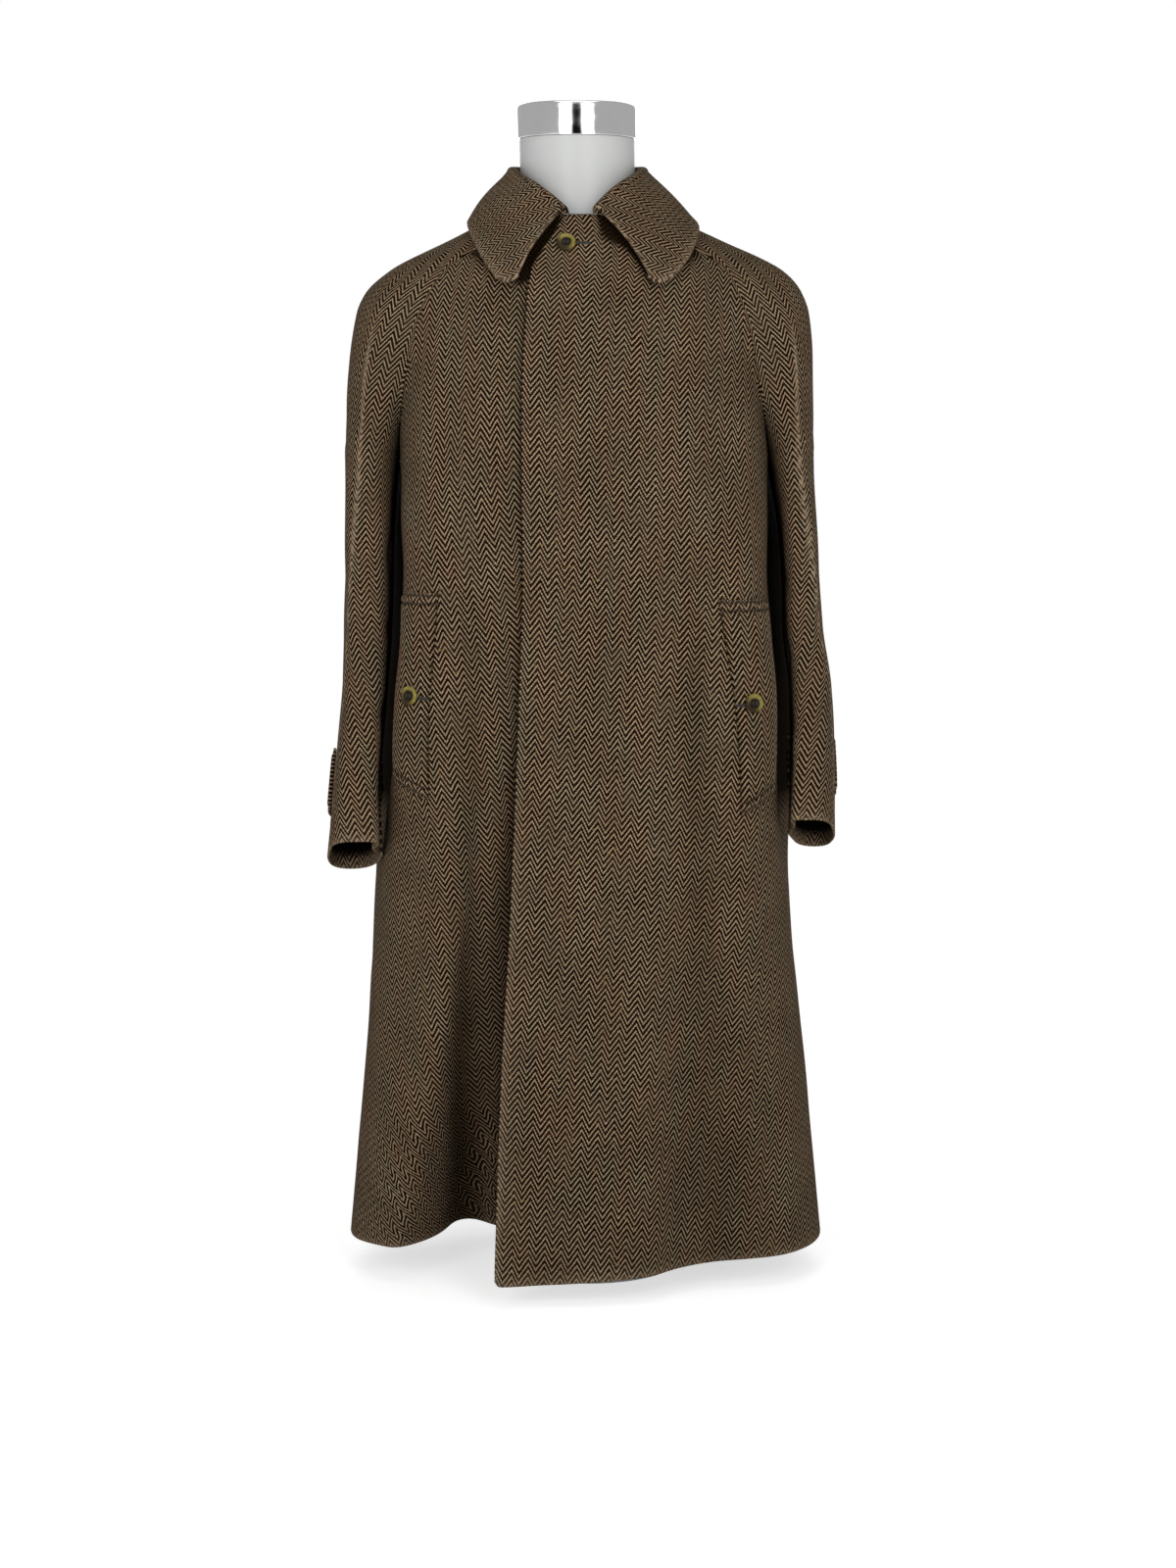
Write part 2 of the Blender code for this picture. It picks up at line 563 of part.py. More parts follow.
# Levels and columns of the panels
YOKE_LEVELS = (1.137, 1.126, 1.113, 1.098, 1.082, 1.064, 1.042, 1.014, 0.984, 0.955, 0.930,
               0.910, 0.893, 0.880)
SKIRT_LEVELS = (0.850, 0.800, WELT_TOP_Z, 0.690, WELT_BUTTON_Z, 0.590, WELT_BOTTOM_Z, 0.470,
                0.410, 0.340, 0.270, 0.200, 0.130, 0.075, HEM_Z)
BODY_LEVELS = YOKE_LEVELS + SKIRT_LEVELS
FRONT_COLUMNS = 7
WELT_SPANS = 5
SIDE_COLUMNS = 5
BACK_SHARES = tuple(np.linspace(0.0, 1.0, 9))
SLEEVE_SHARES = (0.0, 0.09, 0.20, 0.32, 0.46, 0.60, 0.74, 0.88, 1.0)
STRAP_COLUMNS = {"left": (1, 6), "right": (2, 8)}
ARM_LEVELS = 7
COLLAR_SHARES = (0.0, 0.09, 0.18, 0.27, 0.36, 0.44, 0.52, 0.59, 0.66, 0.73, 0.80, 0.86, 0.916, 0.94,
                 0.965, 0.985, 1.0)
ROLL_STEPS = 5
FALL_STEPS = 6


def front_shares(side, z):
    """Columns of a front, with one on each long edge of the pocket welt."""
    slant = np.clip((WELT_TOP_Z - z) / (WELT_TOP_Z - WELT_BOTTOM_Z), 0.0, 1.0)
    sewn = WELT_SEWN_TOP[side] + slant * (WELT_SEWN_BOTTOM[side] - WELT_SEWN_TOP[side])
    free = WELT_FREE[side]
    return np.concatenate((np.linspace(0.0, sewn, FRONT_COLUMNS, endpoint=False),
                           np.linspace(sewn, free, WELT_SPANS, endpoint=False),
                           np.linspace(free, 1.0, SIDE_COLUMNS)))


def sleeve_levels(side):
    cuff = CUFF_Z[side]
    strap_top = cuff + STRAP_HIGH
    arm = np.linspace(UNDERARM_Z, strap_top, ARM_LEVELS)[1:]
    strap = (cuff + 0.5 * (STRAP_LOW + STRAP_HIGH), cuff + STRAP_LOW)
    return YOKE_LEVELS + tuple(arm) + strap + (cuff,)


def front_grid(side):
    row_at = functools.partial(body_row, side, -1)
    points, normals = grid_of(row_at, BODY_LEVELS, functools.partial(front_shares, side))
    return points, facing_out(normals, -1, side)


def back_grid(side):
    row_at = functools.partial(body_row, side, 1)
    points, normals = grid_of(row_at, BODY_LEVELS, lambda z: BACK_SHARES)
    return points, facing_out(normals, 1, side)


def sleeve_grid(side, facing):
    row_at = functools.partial(sleeve_row, side, facing)
    points, normals = grid_of(row_at, sleeve_levels(side), lambda z: SLEEVE_SHARES)
    return points, facing_out(normals, facing, side)


def build_panels(tweed):
    for side in WAY:
        points, normals = front_grid(side)
        slab("front_" + side, points, points - WALL * normals, tweed)
        points, normals = back_grid(side)
        slab("back_" + side, points, points - WALL * normals, tweed)
        for facing, label in ((-1, "front"), (1, "back")):
            points, normals = sleeve_grid(side, facing)
            slab(f"sleeve_{side}_{label}", points, points - WALL * normals, tweed)


def raised(points, normals, wall):
    """Two matching grids just above a panel, a wall apart."""
    return points + (SEAM + wall) * normals, points + SEAM * normals


def build_welts(tweed):
    top = BODY_LEVELS.index(WELT_TOP_Z)
    bottom = BODY_LEVELS.index(WELT_BOTTOM_Z)
    for side in WAY:
        points, normals = front_grid(side)
        area = (slice(top, bottom + 1), slice(FRONT_COLUMNS, FRONT_COLUMNS + WELT_SPANS + 1))
        outer, inner = raised(points[area], normals[area], WELT_WALL)
        slab("pocket_welt_" + side, outer, inner, tweed)


def build_straps(tweed):
    for side in WAY:
        points, normals = sleeve_grid(side, 1)
        first, last = STRAP_COLUMNS[side]
        area = (slice(len(points) - 4, len(points) - 1), slice(first, last + 1))
        outer, inner = raised(points[area], normals[area], STRAP_WALL)
        slab("cuff_strap_" + side, outer, inner, tweed)


def turned(name, profile, sides, material, centre=(0.0, 0.0, 0.0), axis=(0.0, 0.0, 1.0),
           lean=False):
    """Solid of revolution from (radius, height) pairs that start and end on the axis."""
    axis = unit(np.array(axis, float))
    helper = np.array((1.0, 0.0, 0.0)) if abs(axis[0]) < 0.9 else np.array((0.0, 1.0, 0.0))
    first = unit(np.cross(axis, helper))
    second = np.cross(axis, first)
    angles = np.linspace(0.0, 2.0 * math.pi, sides, endpoint=False)
    points = []
    faces = []
    for radius, height in profile[1:-1]:
        for angle in angles:
            spoke = first * math.cos(angle) + second * math.sin(angle)
            points.append(np.array(centre) + axis * height + spoke * radius)
    rings = len(profile) - 2
    for i in range(rings - 1):
        for j in range(sides):
            k = (j + 1) % sides
            faces.append((i * sides + j, i * sides + k, (i + 1) * sides + k, (i + 1) * sides + j))
    for ring, (_, height) in ((0, profile[0]), (rings - 1, profile[-1])):
        middle = len(points)
        points.append(np.array(centre) + axis * height)
        for j in range(sides):
            k = (j + 1) % sides
            face = (middle, ring * sides + k, ring * sides + j)
            faces.append(face if ring == 0 else tuple(reversed(face)))
    return add_object(name, points, faces, material, lean)


def build_button(name, seat, normal, horn):
    profile = [(BUTTON_RADIUS * out, BUTTON_HEIGHT * up) for out, up in BUTTON_PROFILE]
    centre = np.array(seat) + SEAM * np.array(normal)
    turned(name, profile, BUTTON_SIDES, horn, centre, normal, lean=True)


def flat_seat(points, normals, lift):
    """Where a flat button rests on a patch of cloth: above its highest point."""
    normal = unit(normals.mean(axis=(0, 1)))
    middle = points.mean(axis=(0, 1))
    highest = float(np.max((points - middle) @ normal))
    return middle + (highest + lift) * normal, normal


def button_patch(row_at, side, facing, z, share, length):
    """Cloth points under a button at this level and share of the panel's width."""
    spread = np.linspace(-BUTTON_PATCH, BUTTON_PATCH, 5) * BUTTON_RADIUS
    levels = z + spread
    shares = share + spread / length
    points, normals = grid_of(row_at, levels, lambda level: shares)
    return points, facing_out(normals, facing, side)


def share_at_x(row_at, z, x):
    """Share of a front's width at which it crosses x."""
    shares = np.linspace(0.0, 1.0, LINE_POINTS)
    return float(shares[int(np.argmin(np.abs(row_at(z, shares)[:, 0] - x)))])


def build_buttons(horn):
    row_at = functools.partial(body_row, "left", -1)
    share = share_at_x(row_at, COLLAR_BUTTON_Z, COLLAR_BUTTON_X)
    length = panel_run("body", "left", -1, COLLAR_BUTTON_Z)
    points, normals = button_patch(row_at, "left", -1, COLLAR_BUTTON_Z, share, length)
    build_button("collar_button", *flat_seat(points, normals, 0.0), horn)
    for side in WAY:
        row_at = functools.partial(body_row, side, -1)
        share = WELT_BUTTON_SHARE[side]
        length = panel_run("body", side, -1, WELT_BUTTON_Z)
        points, normals = button_patch(row_at, side, -1, WELT_BUTTON_Z, share, length)
        build_button("pocket_button_" + side, *flat_seat(points, normals, SEAM + WELT_WALL), horn)
        row_at = functools.partial(sleeve_row, side, 1)
        level = CUFF_Z[side] + 0.5 * (STRAP_LOW + STRAP_HIGH)
        length = panel_run("sleeve", side, 1, level)
        points, normals = button_patch(row_at, side, 1, level, STRAP_BUTTON_SHARE, length)
        build_button("strap_button_" + side, *flat_seat(points, normals, SEAM + STRAP_WALL), horn)


def neckline(side):
    """Neck edge of the coat from the centre back to the centre front on one side."""
    back, _ = yoke_line(side, NECK_Z, 1)
    front, _ = yoke_line(side, NECK_Z, -1)
    line = np.concatenate((back, front[::-1][1:]))
    height = NECK_Z + BODY.at(NECK_Z).tilt * line[:, 1]
    return np.stack((WAY[side] * line[:, 0], line[:, 1], height), axis=1)


def collar_section(side, share):
    """Middle line of the folded collar at one place: stand, roll and fall."""
    row = COLLAR.at(share)
    edge_line = neckline(side)
    run = path_length(edge_line)[-1]
    foot = along(edge_line, [share * (1.0 - COLLAR_END_FRACTION) * run])[0]
    near_end = share ** COLLAR_END_POWER
    foot[2] += COLLAR_LIFT + COLLAR_END_LIFT * near_end
    radius = ROLL_RADIUS + (ROLL_END_RADIUS - ROLL_RADIUS) * near_end
    way = WAY[side]
    roll = np.array((way * row.roll_x, row.roll_y, row.roll_z))
    edge = np.array((way * (row.edge_x + COLLAR_END_SHIFT[side] * near_end), row.edge_y, row.edge_z))
    out = edge - roll
    out[2] = 0.0
    out = unit(out)
    up = np.array((0.0, 0.0, 1.0))
    crease = roll - radius * (up + out)
    line = [foot, 0.5 * (foot + crease)]
    for angle in np.linspace(0.0, math.pi, ROLL_STEPS):
        centre = crease + radius * out
        line.append(centre + radius * (math.sin(angle) * up - math.cos(angle) * out))
    start = line[-1]
    fall = edge - start
    lost = 0.0
    end_run = (1.0 - share) * COLLAR_EDGE_LENGTH
    if end_run < COLLAR_POINT_RADIUS:
        lack = COLLAR_POINT_RADIUS - end_run
        round_off = COLLAR_POINT_RADIUS - math.sqrt(COLLAR_POINT_RADIUS ** 2 - lack ** 2)
        lost = round_off / np.linalg.norm(fall)
    outward = unit(out + COLLAR_BOW_LIFT * up)
    for step in np.linspace(0.0, 1.0, FALL_STEPS)[1:]:
        arch = math.sin(math.pi * step)
        point = start + fall * step * (1.0 - lost) + outward * COLLAR_BOW * arch
        point[0] += way * COLLAR_HOLLOW[side] * near_end * arch
        line.append(point)
    return np.array(line)


def build_collar(tweed):
    right = [collar_section("right", share) for share in reversed(COLLAR_SHARES)]
    left = [collar_section("left", share) for share in COLLAR_SHARES[1:]]
    middle = np.array(right + left)
    normals = unit(np.cross(np.gradient(middle, axis=0), np.gradient(middle, axis=1)))
    half = 0.5 * COLLAR_WALL
    slab("collar", middle + half * normals, middle - half * normals, tweed)


def build_torso(white):
    angles = np.linspace(0.0, 2.0 * math.pi, FORM_SIDES, endpoint=False)
    points = []
    faces = []
    for z, half, front, back, power in FORM:
        for angle in angles:
            cosine, sine = math.cos(angle), math.sin(angle)
            x = half * math.copysign(abs(cosine) ** (2 / power), cosine)
            y = math.copysign(abs(sine) ** (2 / power), sine) * (back if sine > 0 else front)
            points.append((x, y, z))
    for i in range(len(FORM) - 1):
        for j in range(FORM_SIDES):
            k = (j + 1) % FORM_SIDES
            faces.append((i * FORM_SIDES + j, (i + 1) * FORM_SIDES + j,
                          (i + 1) * FORM_SIDES + k, i * FORM_SIDES + k))
    last = (len(FORM) - 1) * FORM_SIDES
    faces.append(tuple(range(FORM_SIDES)))
    faces.append(tuple(range(last + FORM_SIDES - 1, last - 1, -1)))
    add_object("form_torso", points, faces, white)


def build_form(white, chrome):
    build_torso(white)
    low, high = NECK_TOP_Z + SEAM, CAP_TOP_Z
    cap = ((0.0, low), (CAP_RADIUS - CAP_EDGE, low), (CAP_RADIUS, low + CAP_EDGE),
           (CAP_RADIUS, high - CAP_RIM), (CAP_RADIUS - 0.3 * CAP_RIM, high - 0.3 * CAP_RIM),
           (CAP_RADIUS - CAP_RIM, high), (0.0, high))
    turned("form_neck_cap", cap, CAP_SIDES, chrome, lean=True)
    foot = (POLE_X, POLE_Y, 0.0)
    low, high = BASE_HEIGHT + SEAM, TORSO_BOTTOM_Z - SEAM
    pole = ((0.0, low), (POLE_RADIUS, low), (POLE_RADIUS, high), (0.0, high))
    turned("form_pole", pole, POLE_SIDES, white, foot)
    base = ((0.0, 0.0), (BASE_RADIUS, 0.0), (BASE_RADIUS, BASE_HEIGHT - BASE_EDGE),
            (BASE_RADIUS - BASE_EDGE, BASE_HEIGHT), (0.0, BASE_HEIGHT))
    turned("form_base", base, BASE_SIDES, white, foot)


def main():
    clear_scene()
    tweed = make_material("tweed", TWEED_COLOUR, 0.95)
    horn = make_material("horn", HORN_COLOUR, 0.30)
    white = make_material("white_gloss", WHITE_COLOUR, 0.25)
    chrome = make_material("chrome", CHROME_COLOUR, 0.10, 1.0)
    build_panels(tweed)
    build_welts(tweed)
    build_straps(tweed)
    build_collar(tweed)
    build_buttons(horn)
    build_form(white, chrome)


main()
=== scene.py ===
"""Looks of a herringbone tweed overcoat on a limbless dress form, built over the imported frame.

Metres, +Z up. The coat's front faces -Y and the wearer's left is +X.
"""

import functools
import math
from types import SimpleNamespace

import bpy
import numpy as np
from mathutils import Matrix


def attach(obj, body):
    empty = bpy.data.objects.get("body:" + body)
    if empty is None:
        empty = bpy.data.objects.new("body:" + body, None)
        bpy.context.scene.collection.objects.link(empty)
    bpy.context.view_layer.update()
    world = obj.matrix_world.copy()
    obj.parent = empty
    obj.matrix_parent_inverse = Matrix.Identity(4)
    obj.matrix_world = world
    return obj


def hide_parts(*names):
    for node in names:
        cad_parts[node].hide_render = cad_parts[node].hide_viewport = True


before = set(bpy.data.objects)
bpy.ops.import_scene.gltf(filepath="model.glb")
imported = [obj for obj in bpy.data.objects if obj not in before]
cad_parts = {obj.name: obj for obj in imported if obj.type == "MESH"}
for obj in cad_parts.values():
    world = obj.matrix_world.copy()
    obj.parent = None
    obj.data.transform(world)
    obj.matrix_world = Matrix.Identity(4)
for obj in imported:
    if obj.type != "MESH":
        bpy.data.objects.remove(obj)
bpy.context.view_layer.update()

# How finely sections are drawn before points are taken from them
LINE_POINTS = 240
SOFTEN_STEP = 0.001
SOFTEN_REACH = 3.0         # of the average to each side, in widths

# Thickness of the cloth pieces, and the gap between them
WALL = 0.0024
SEAM = 0.0003
COLLAR_WALL = 0.004
WELT_WALL = 0.0036
STRAP_WALL = 0.0044

# Sides, and heights of the main lines above the floor
WAY = {"left": 1.0, "right": -1.0}
NECK_Z = 1.137
UNDERARM_Z = 0.88
HEM_Z = 0.04
HEM_DROP = {"left": -0.016, "right": 0.005}
HEM_DROP_POWER = 3
CUFF_Z = {"left": 0.485, "right": 0.462}

# Raglan seams: how their slope is measured, and how a panel's width changes past the underarm
SEAM_STEP = 0.004
STEEPEST_SEAM = 0.15
STEADY_ABOVE = 0.09
STEADY_BELOW = 0.14
SEAM_PULL = 4

# Front of a sleeve, which is squarer below the underarm
SLEEVE_SQUARER = 1.6
SLEEVE_SQUARE_RUN = 0.1

# Pocket welts: heights, and their edges as shares of the front's width
WELT_TOP_Z = {"left": 0.735, "right": 0.742}
WELT_SEWN_BOTTOM_Z = {"left": 0.515, "right": 0.53}
WELT_FREE_BOTTOM_Z = {"left": 0.534, "right": 0.548}
WELT_BUTTON_Z = {"left": 0.63, "right": 0.636}
WELT_SEWN_TOP = {"left": 0.515, "right": 0.5085}
WELT_SEWN_BOTTOM = {"left": 0.5745, "right": 0.5205}
WELT_FREE = {"left": 0.681, "right": 0.65}
WELT_BUTTON_SHARE = {"left": 0.5895, "right": 0.568}

# Cuff straps, measured up from the cuff, and the shares of the back sleeve that they cross
STRAP_LOW = 0.048
STRAP_HIGH = 0.11
STRAP_SHARES = {"left": (0.09, 0.74), "right": (0.2, 1.0)}
STRAP_BUTTON_SHARE = 0.34
STRAP_TIP = 0.02

# Buttons
BUTTON_RADIUS = 0.01
BUTTON_HEIGHT = 0.0042
COLLAR_BUTTON_X = -0.02
COLLAR_BUTTON_Z = 1.107
COLLAR_HOLE_AWAY = 0.0165
COLLAR_HOLE_LENGTH = 0.015
POCKET_HOLE_AWAY = 0.012
POCKET_HOLE_LENGTH = 0.016
SEAT_SHARE = 0.8           # of a button's radius that rests on the cloth
SEAT_POINTS = 7

# Collar
ROLL_RADIUS = 0.004
ROLL_END_RADIUS = 0.0052
COLLAR_POINT_RADIUS = 0.012
COLLAR_EDGE_LENGTH = 0.19
COLLAR_END_POWER = 8
COLLAR_BOW = 0.0025
COLLAR_BOW_LIFT = 0.6
COLLAR_END_FRACTION = 0.085
COLLAR_END_SHIFT = {"left": 0.0, "right": 0.005}
COLLAR_HOLLOW = {"left": 0.0, "right": 0.005}
COLLAR_LIFT = 0.0004


class Sizes:
    """A short table of named columns, read between its rows with a monotone cubic."""

    def __init__(self, names, rows):
        self.names = names.split()
        self.values = np.array(sorted(rows), float)
        self.keys = self.values[:, 0]
        self.gaps = np.diff(self.keys)
        self.tangents = np.zeros_like(self.values)
        slopes = np.diff(self.values, axis=0) / self.gaps[:, None]
        self.tangents[0] = slopes[0]
        self.tangents[-1] = slopes[-1]
        for i in range(1, len(self.keys) - 1):
            before, after = slopes[i - 1], slopes[i]
            same = before * after > 0.0
            w1 = 2.0 * self.gaps[i] + self.gaps[i - 1]
            w2 = self.gaps[i] + 2.0 * self.gaps[i - 1]
            inverse = w1 / np.where(same, before, 1.0) + w2 / np.where(same, after, 1.0)
            self.tangents[i] = np.where(same, (w1 + w2) / inverse, 0.0)

    def at(self, key):
        key = min(max(key, self.keys[0]), self.keys[-1])
        i = int(min(np.searchsorted(self.keys, key, side="right") - 1, len(self.keys) - 2))
        h = self.gaps[i]
        t = (key - self.keys[i]) / h
        row = ((1 + 2 * t) * (1 - t) ** 2 * self.values[i] + t * (1 - t) ** 2 * h * self.tangents[i]
               + t * t * (3 - 2 * t) * self.values[i + 1] + t * t * (t - 1) * h * self.tangents[i + 1])
        return SimpleNamespace(**dict(zip(self.names, row.tolist())))


# Body oval at each height, with the wider back behind the sleeves
BODY = Sizes("z left right back back_power flare_left flare_right flare_y tilt blend", (
    (1.137, 0.074, 0.074, 0.072, 2.0, 0.0, 0.0, 0.0, 0.1, 0.004),
    (1.108, 0.115, 0.115, 0.088, 2.1, 0.0, 0.0, 0.0, 0.08, 0.012),
    (1.075, 0.165, 0.165, 0.103, 2.3, 0.0, 0.0, 0.0, 0.06, 0.018),
    (1.03, 0.183, 0.183, 0.117, 2.5, 0.0, 0.0, 0.0, 0.03, 0.016),
    (0.98, 0.192, 0.19, 0.127, 2.7, 0.0, 0.0, 0.01, 0.01, 0.011),
    (0.93, 0.197, 0.192, 0.133, 2.8, 0.0, 0.0, 0.03, 0.0, 0.006),
    (0.88, 0.198, 0.1905, 0.138, 2.8, 0.0, 0.0, 0.05, 0.0, 0.003),
    (0.868, 0.1979, 0.1899, 0.139, 2.78, 0.009, 0.0092, 0.078, 0.0, 0.002),
    (0.852, 0.1976, 0.189, 0.14, 2.75, 0.0112, 0.011, 0.08, 0.0, 0.002),
    (0.82, 0.1966, 0.1872, 0.142, 2.7, 0.0174, 0.0163, 0.083, 0.0, 0.004),
    (0.765, 0.1955, 0.1845, 0.146, 2.6, 0.0277, 0.023, 0.088, 0.0, 0.006),
    (0.697, 0.2007, 0.1855, 0.149, 2.5, 0.0277, 0.026, 0.085, 0.0, 0.007),
    (0.634, 0.2062, 0.1905, 0.152, 2.5, 0.0274, 0.026, 0.08, 0.0, 0.007),
    (0.54, 0.209, 0.2, 0.156, 2.5, 0.025, 0.024, 0.07, 0.0, 0.007),
    (0.42, 0.2212, 0.218, 0.162, 2.5, 0.0065, 0.0067, 0.03, 0.0, 0.007),
    (0.26, 0.24, 0.2307, 0.17, 2.4, 0.0, 0.0, 0.0, 0.0, 0.004),
    (0.04, 0.2626, 0.2512, 0.18, 2.4, 0.0, 0.0, 0.0, 0.0, 0.004)))

# The over front: its foremost line, how far forward that is, and its free edge
OVER = Sizes("z turn front power edge", (
    (1.137, 0.0, 0.085, 2.0, -0.017),
    (1.108, 0.0, 0.098, 2.1, -0.038),
    (1.084, 0.0, 0.109, 2.2, -0.055),
    (1.03, 0.0, 0.128, 2.5, -0.057),
    (0.98, 0.0, 0.14, 2.8, -0.058),
    (0.93, 0.0, 0.148, 3.0, -0.058),
    (0.88, 0.0, 0.153, 3.3, -0.058),
    (0.765, 0.0, 0.16, 6.0, -0.057),
    (0.634, -0.01, 0.168, 6.5, -0.061),
    (0.42, -0.045, 0.176, 3.4, -0.07),
    (0.25, -0.07, 0.182, 2.6, -0.08),
    (0.04, -0.088, 0.187, 2.3, -0.088)))

# The under front, mirrored: its own depth, and how it sinks behind the over front's edge
UNDER = Sizes("z turn front power edge sink ramp reach", (
    (1.137, 0.0, 0.085, 2.0, -0.014, 0.0052, 0.025, 0.004),
    (1.108, 0.0, 0.098, 2.1, -0.024, 0.0055, 0.028, 0.004),
    (1.084, 0.0, 0.109, 2.2, -0.032, 0.0058, 0.03, 0.004),
    (1.03, 0.0, 0.128, 2.5, -0.036, 0.006, 0.03, 0.004),
    (0.98, 0.0, 0.14, 2.8, -0.038, 0.0062, 0.03, 0.004),
    (0.93, 0.0, 0.148, 3.0, -0.038, 0.0064, 0.03, 0.004),
    (0.88, 0.0, 0.153, 3.2, -0.038, 0.0066, 0.03, 0.004),
    (0.765, 0.0, 0.16, 7.0, -0.038, 0.0075, 0.032, 0.004),
    (0.634, 0.0, 0.166, 8.0, -0.036, 0.011, 0.038, 0.004),
    (0.54, 0.0, 0.1645, 5.4, -0.0334, 0.0158, 0.0425, 0.0032),
    (0.42, 0.0, 0.16, 2.7, -0.028, 0.026, 0.05, 0.002),
    (0.25, 0.0, 0.148, 2.6, -0.01, 0.062, 0.075, 0.005),
    (0.04, 0.0, 0.13, 2.6, 0.025, 0.118, 0.09, 0.027)))

# Sleeves: outer line, half width, half depth, middle and the forward pitch of the arm
SLEEVE = Sizes("z out_left half_left out_right half_right depth mid power tilt swing", (
    (1.137, 0.078, 0.038, 0.078, 0.038, 0.062, 0.0, 2.0, 0.0, 0.0),
    (1.108, 0.141, 0.045, 0.141, 0.045, 0.055, 0.0, 2.0, 0.0, 0.0),
    (1.075, 0.21, 0.054, 0.21, 0.054, 0.062, 0.0, 2.1, 0.0, 0.0),
    (1.051, 0.232, 0.054, 0.232, 0.054, 0.069, 0.0, 2.2, 0.0, 0.0),
    (1.03, 0.24, 0.05, 0.24, 0.05, 0.075, 0.0, 2.2, 0.0, 0.0),
    (0.98, 0.2455, 0.042, 0.2455, 0.043, 0.085, 0.0, 2.3, 0.0, 0.0),
    (0.93, 0.247, 0.0325, 0.2475, 0.0353, 0.09, 0.0, 2.4, 0.0, 0.0),
    (0.88, 0.2475, 0.0242, 0.2485, 0.0282, 0.092, 0.0, 2.4, 0.0, 0.0),
    (0.765, 0.2525, 0.019, 0.2485, 0.0249, 0.087, -0.014, 2.4, 0.08, 0.02),
    (0.697, 0.2565, 0.0202, 0.2502, 0.025, 0.083, -0.025, 2.4, 0.15, 0.04),
    (0.634, 0.2665, 0.0222, 0.2522, 0.0238, 0.078, -0.038, 2.4, 0.22, 0.06),
    (0.55, 0.27, 0.024, 0.26, 0.0246, 0.071, -0.06, 2.4, 0.3, 0.1),
    (0.46, 0.269, 0.0252, 0.2671, 0.0295, 0.066, -0.078, 2.4, 0.36, 0.14)))

# Largest folds of the panels, as in the solids: height, share of the width, half width and depth
FOLDS = {
    "left front": (
        (0.04, 0.52, 0.07, -0.026), (0.3, 0.5, 0.06, -0.012), (0.6, 0.47, 0.05, 0.0)),
    "right front": (
        (0.04, 0.28, 0.05, 0.004), (0.3, 0.34, 0.05, 0.004), (0.6, 0.4, 0.05, 0.0)),
    "left back": (
        (0.04, 0.45, 0.06, -0.02), (0.4, 0.48, 0.05, -0.01), (0.76, 0.52, 0.04, 0.0)),
    "right back": (
        (0.04, 0.5, 0.06, -0.018), (0.4, 0.52, 0.05, -0.01), (0.76, 0.55, 0.04, 0.0)),
    "left sleeve front": (
        (0.46, 0.2, 0.022, -0.009), (0.56, 0.22, 0.022, -0.004), (0.64, 0.25, 0.02, 0.0)),
    "right sleeve front": (
        (0.46, 0.16, 0.024, -0.011), (0.56, 0.18, 0.022, -0.004), (0.64, 0.2, 0.02, 0.0)),
}
FOLDS = {name: Sizes("z share width depth", rows) for name, rows in FOLDS.items()}

# Sideways lean of the whole coat and of the form's neck
LEAN = Sizes("z x", (
    (1.25, -0.004), (1.16, -0.002), (1.137, 0.0), (1.108, 0.005), (1.075, 0.0065),
    (1.05, 0.004), (1.0, 0.002), (0.93, 0.0), (0.0, 0.0)))

# Collar, from the centre back (0) round to the front end (1): roll line and outer edge
COLLAR = Sizes("share roll_x roll_y roll_z edge_x edge_y edge_z", (
    (0.0, 0.0, 0.069, 1.185, 0.0, 0.108, 1.127),
    (0.18, 0.033, 0.062, 1.185, 0.053, 0.098, 1.126),
    (0.36, 0.059, 0.04, 1.184, 0.097, 0.065, 1.124),
    (0.52, 0.069, 0.003, 1.1815, 0.118, 0.008, 1.1255),
    (0.66, 0.0625, -0.037, 1.173, 0.119, -0.034, 1.118),
    (0.8, 0.046, -0.067, 1.1615, 0.109, -0.08, 1.093),
    (0.92, 0.0265, -0.085, 1.145, 0.089, -0.116, 1.066),
    (1.0, 0.0178, -0.09, 1.1362, 0.072, -0.129, 1.054)))

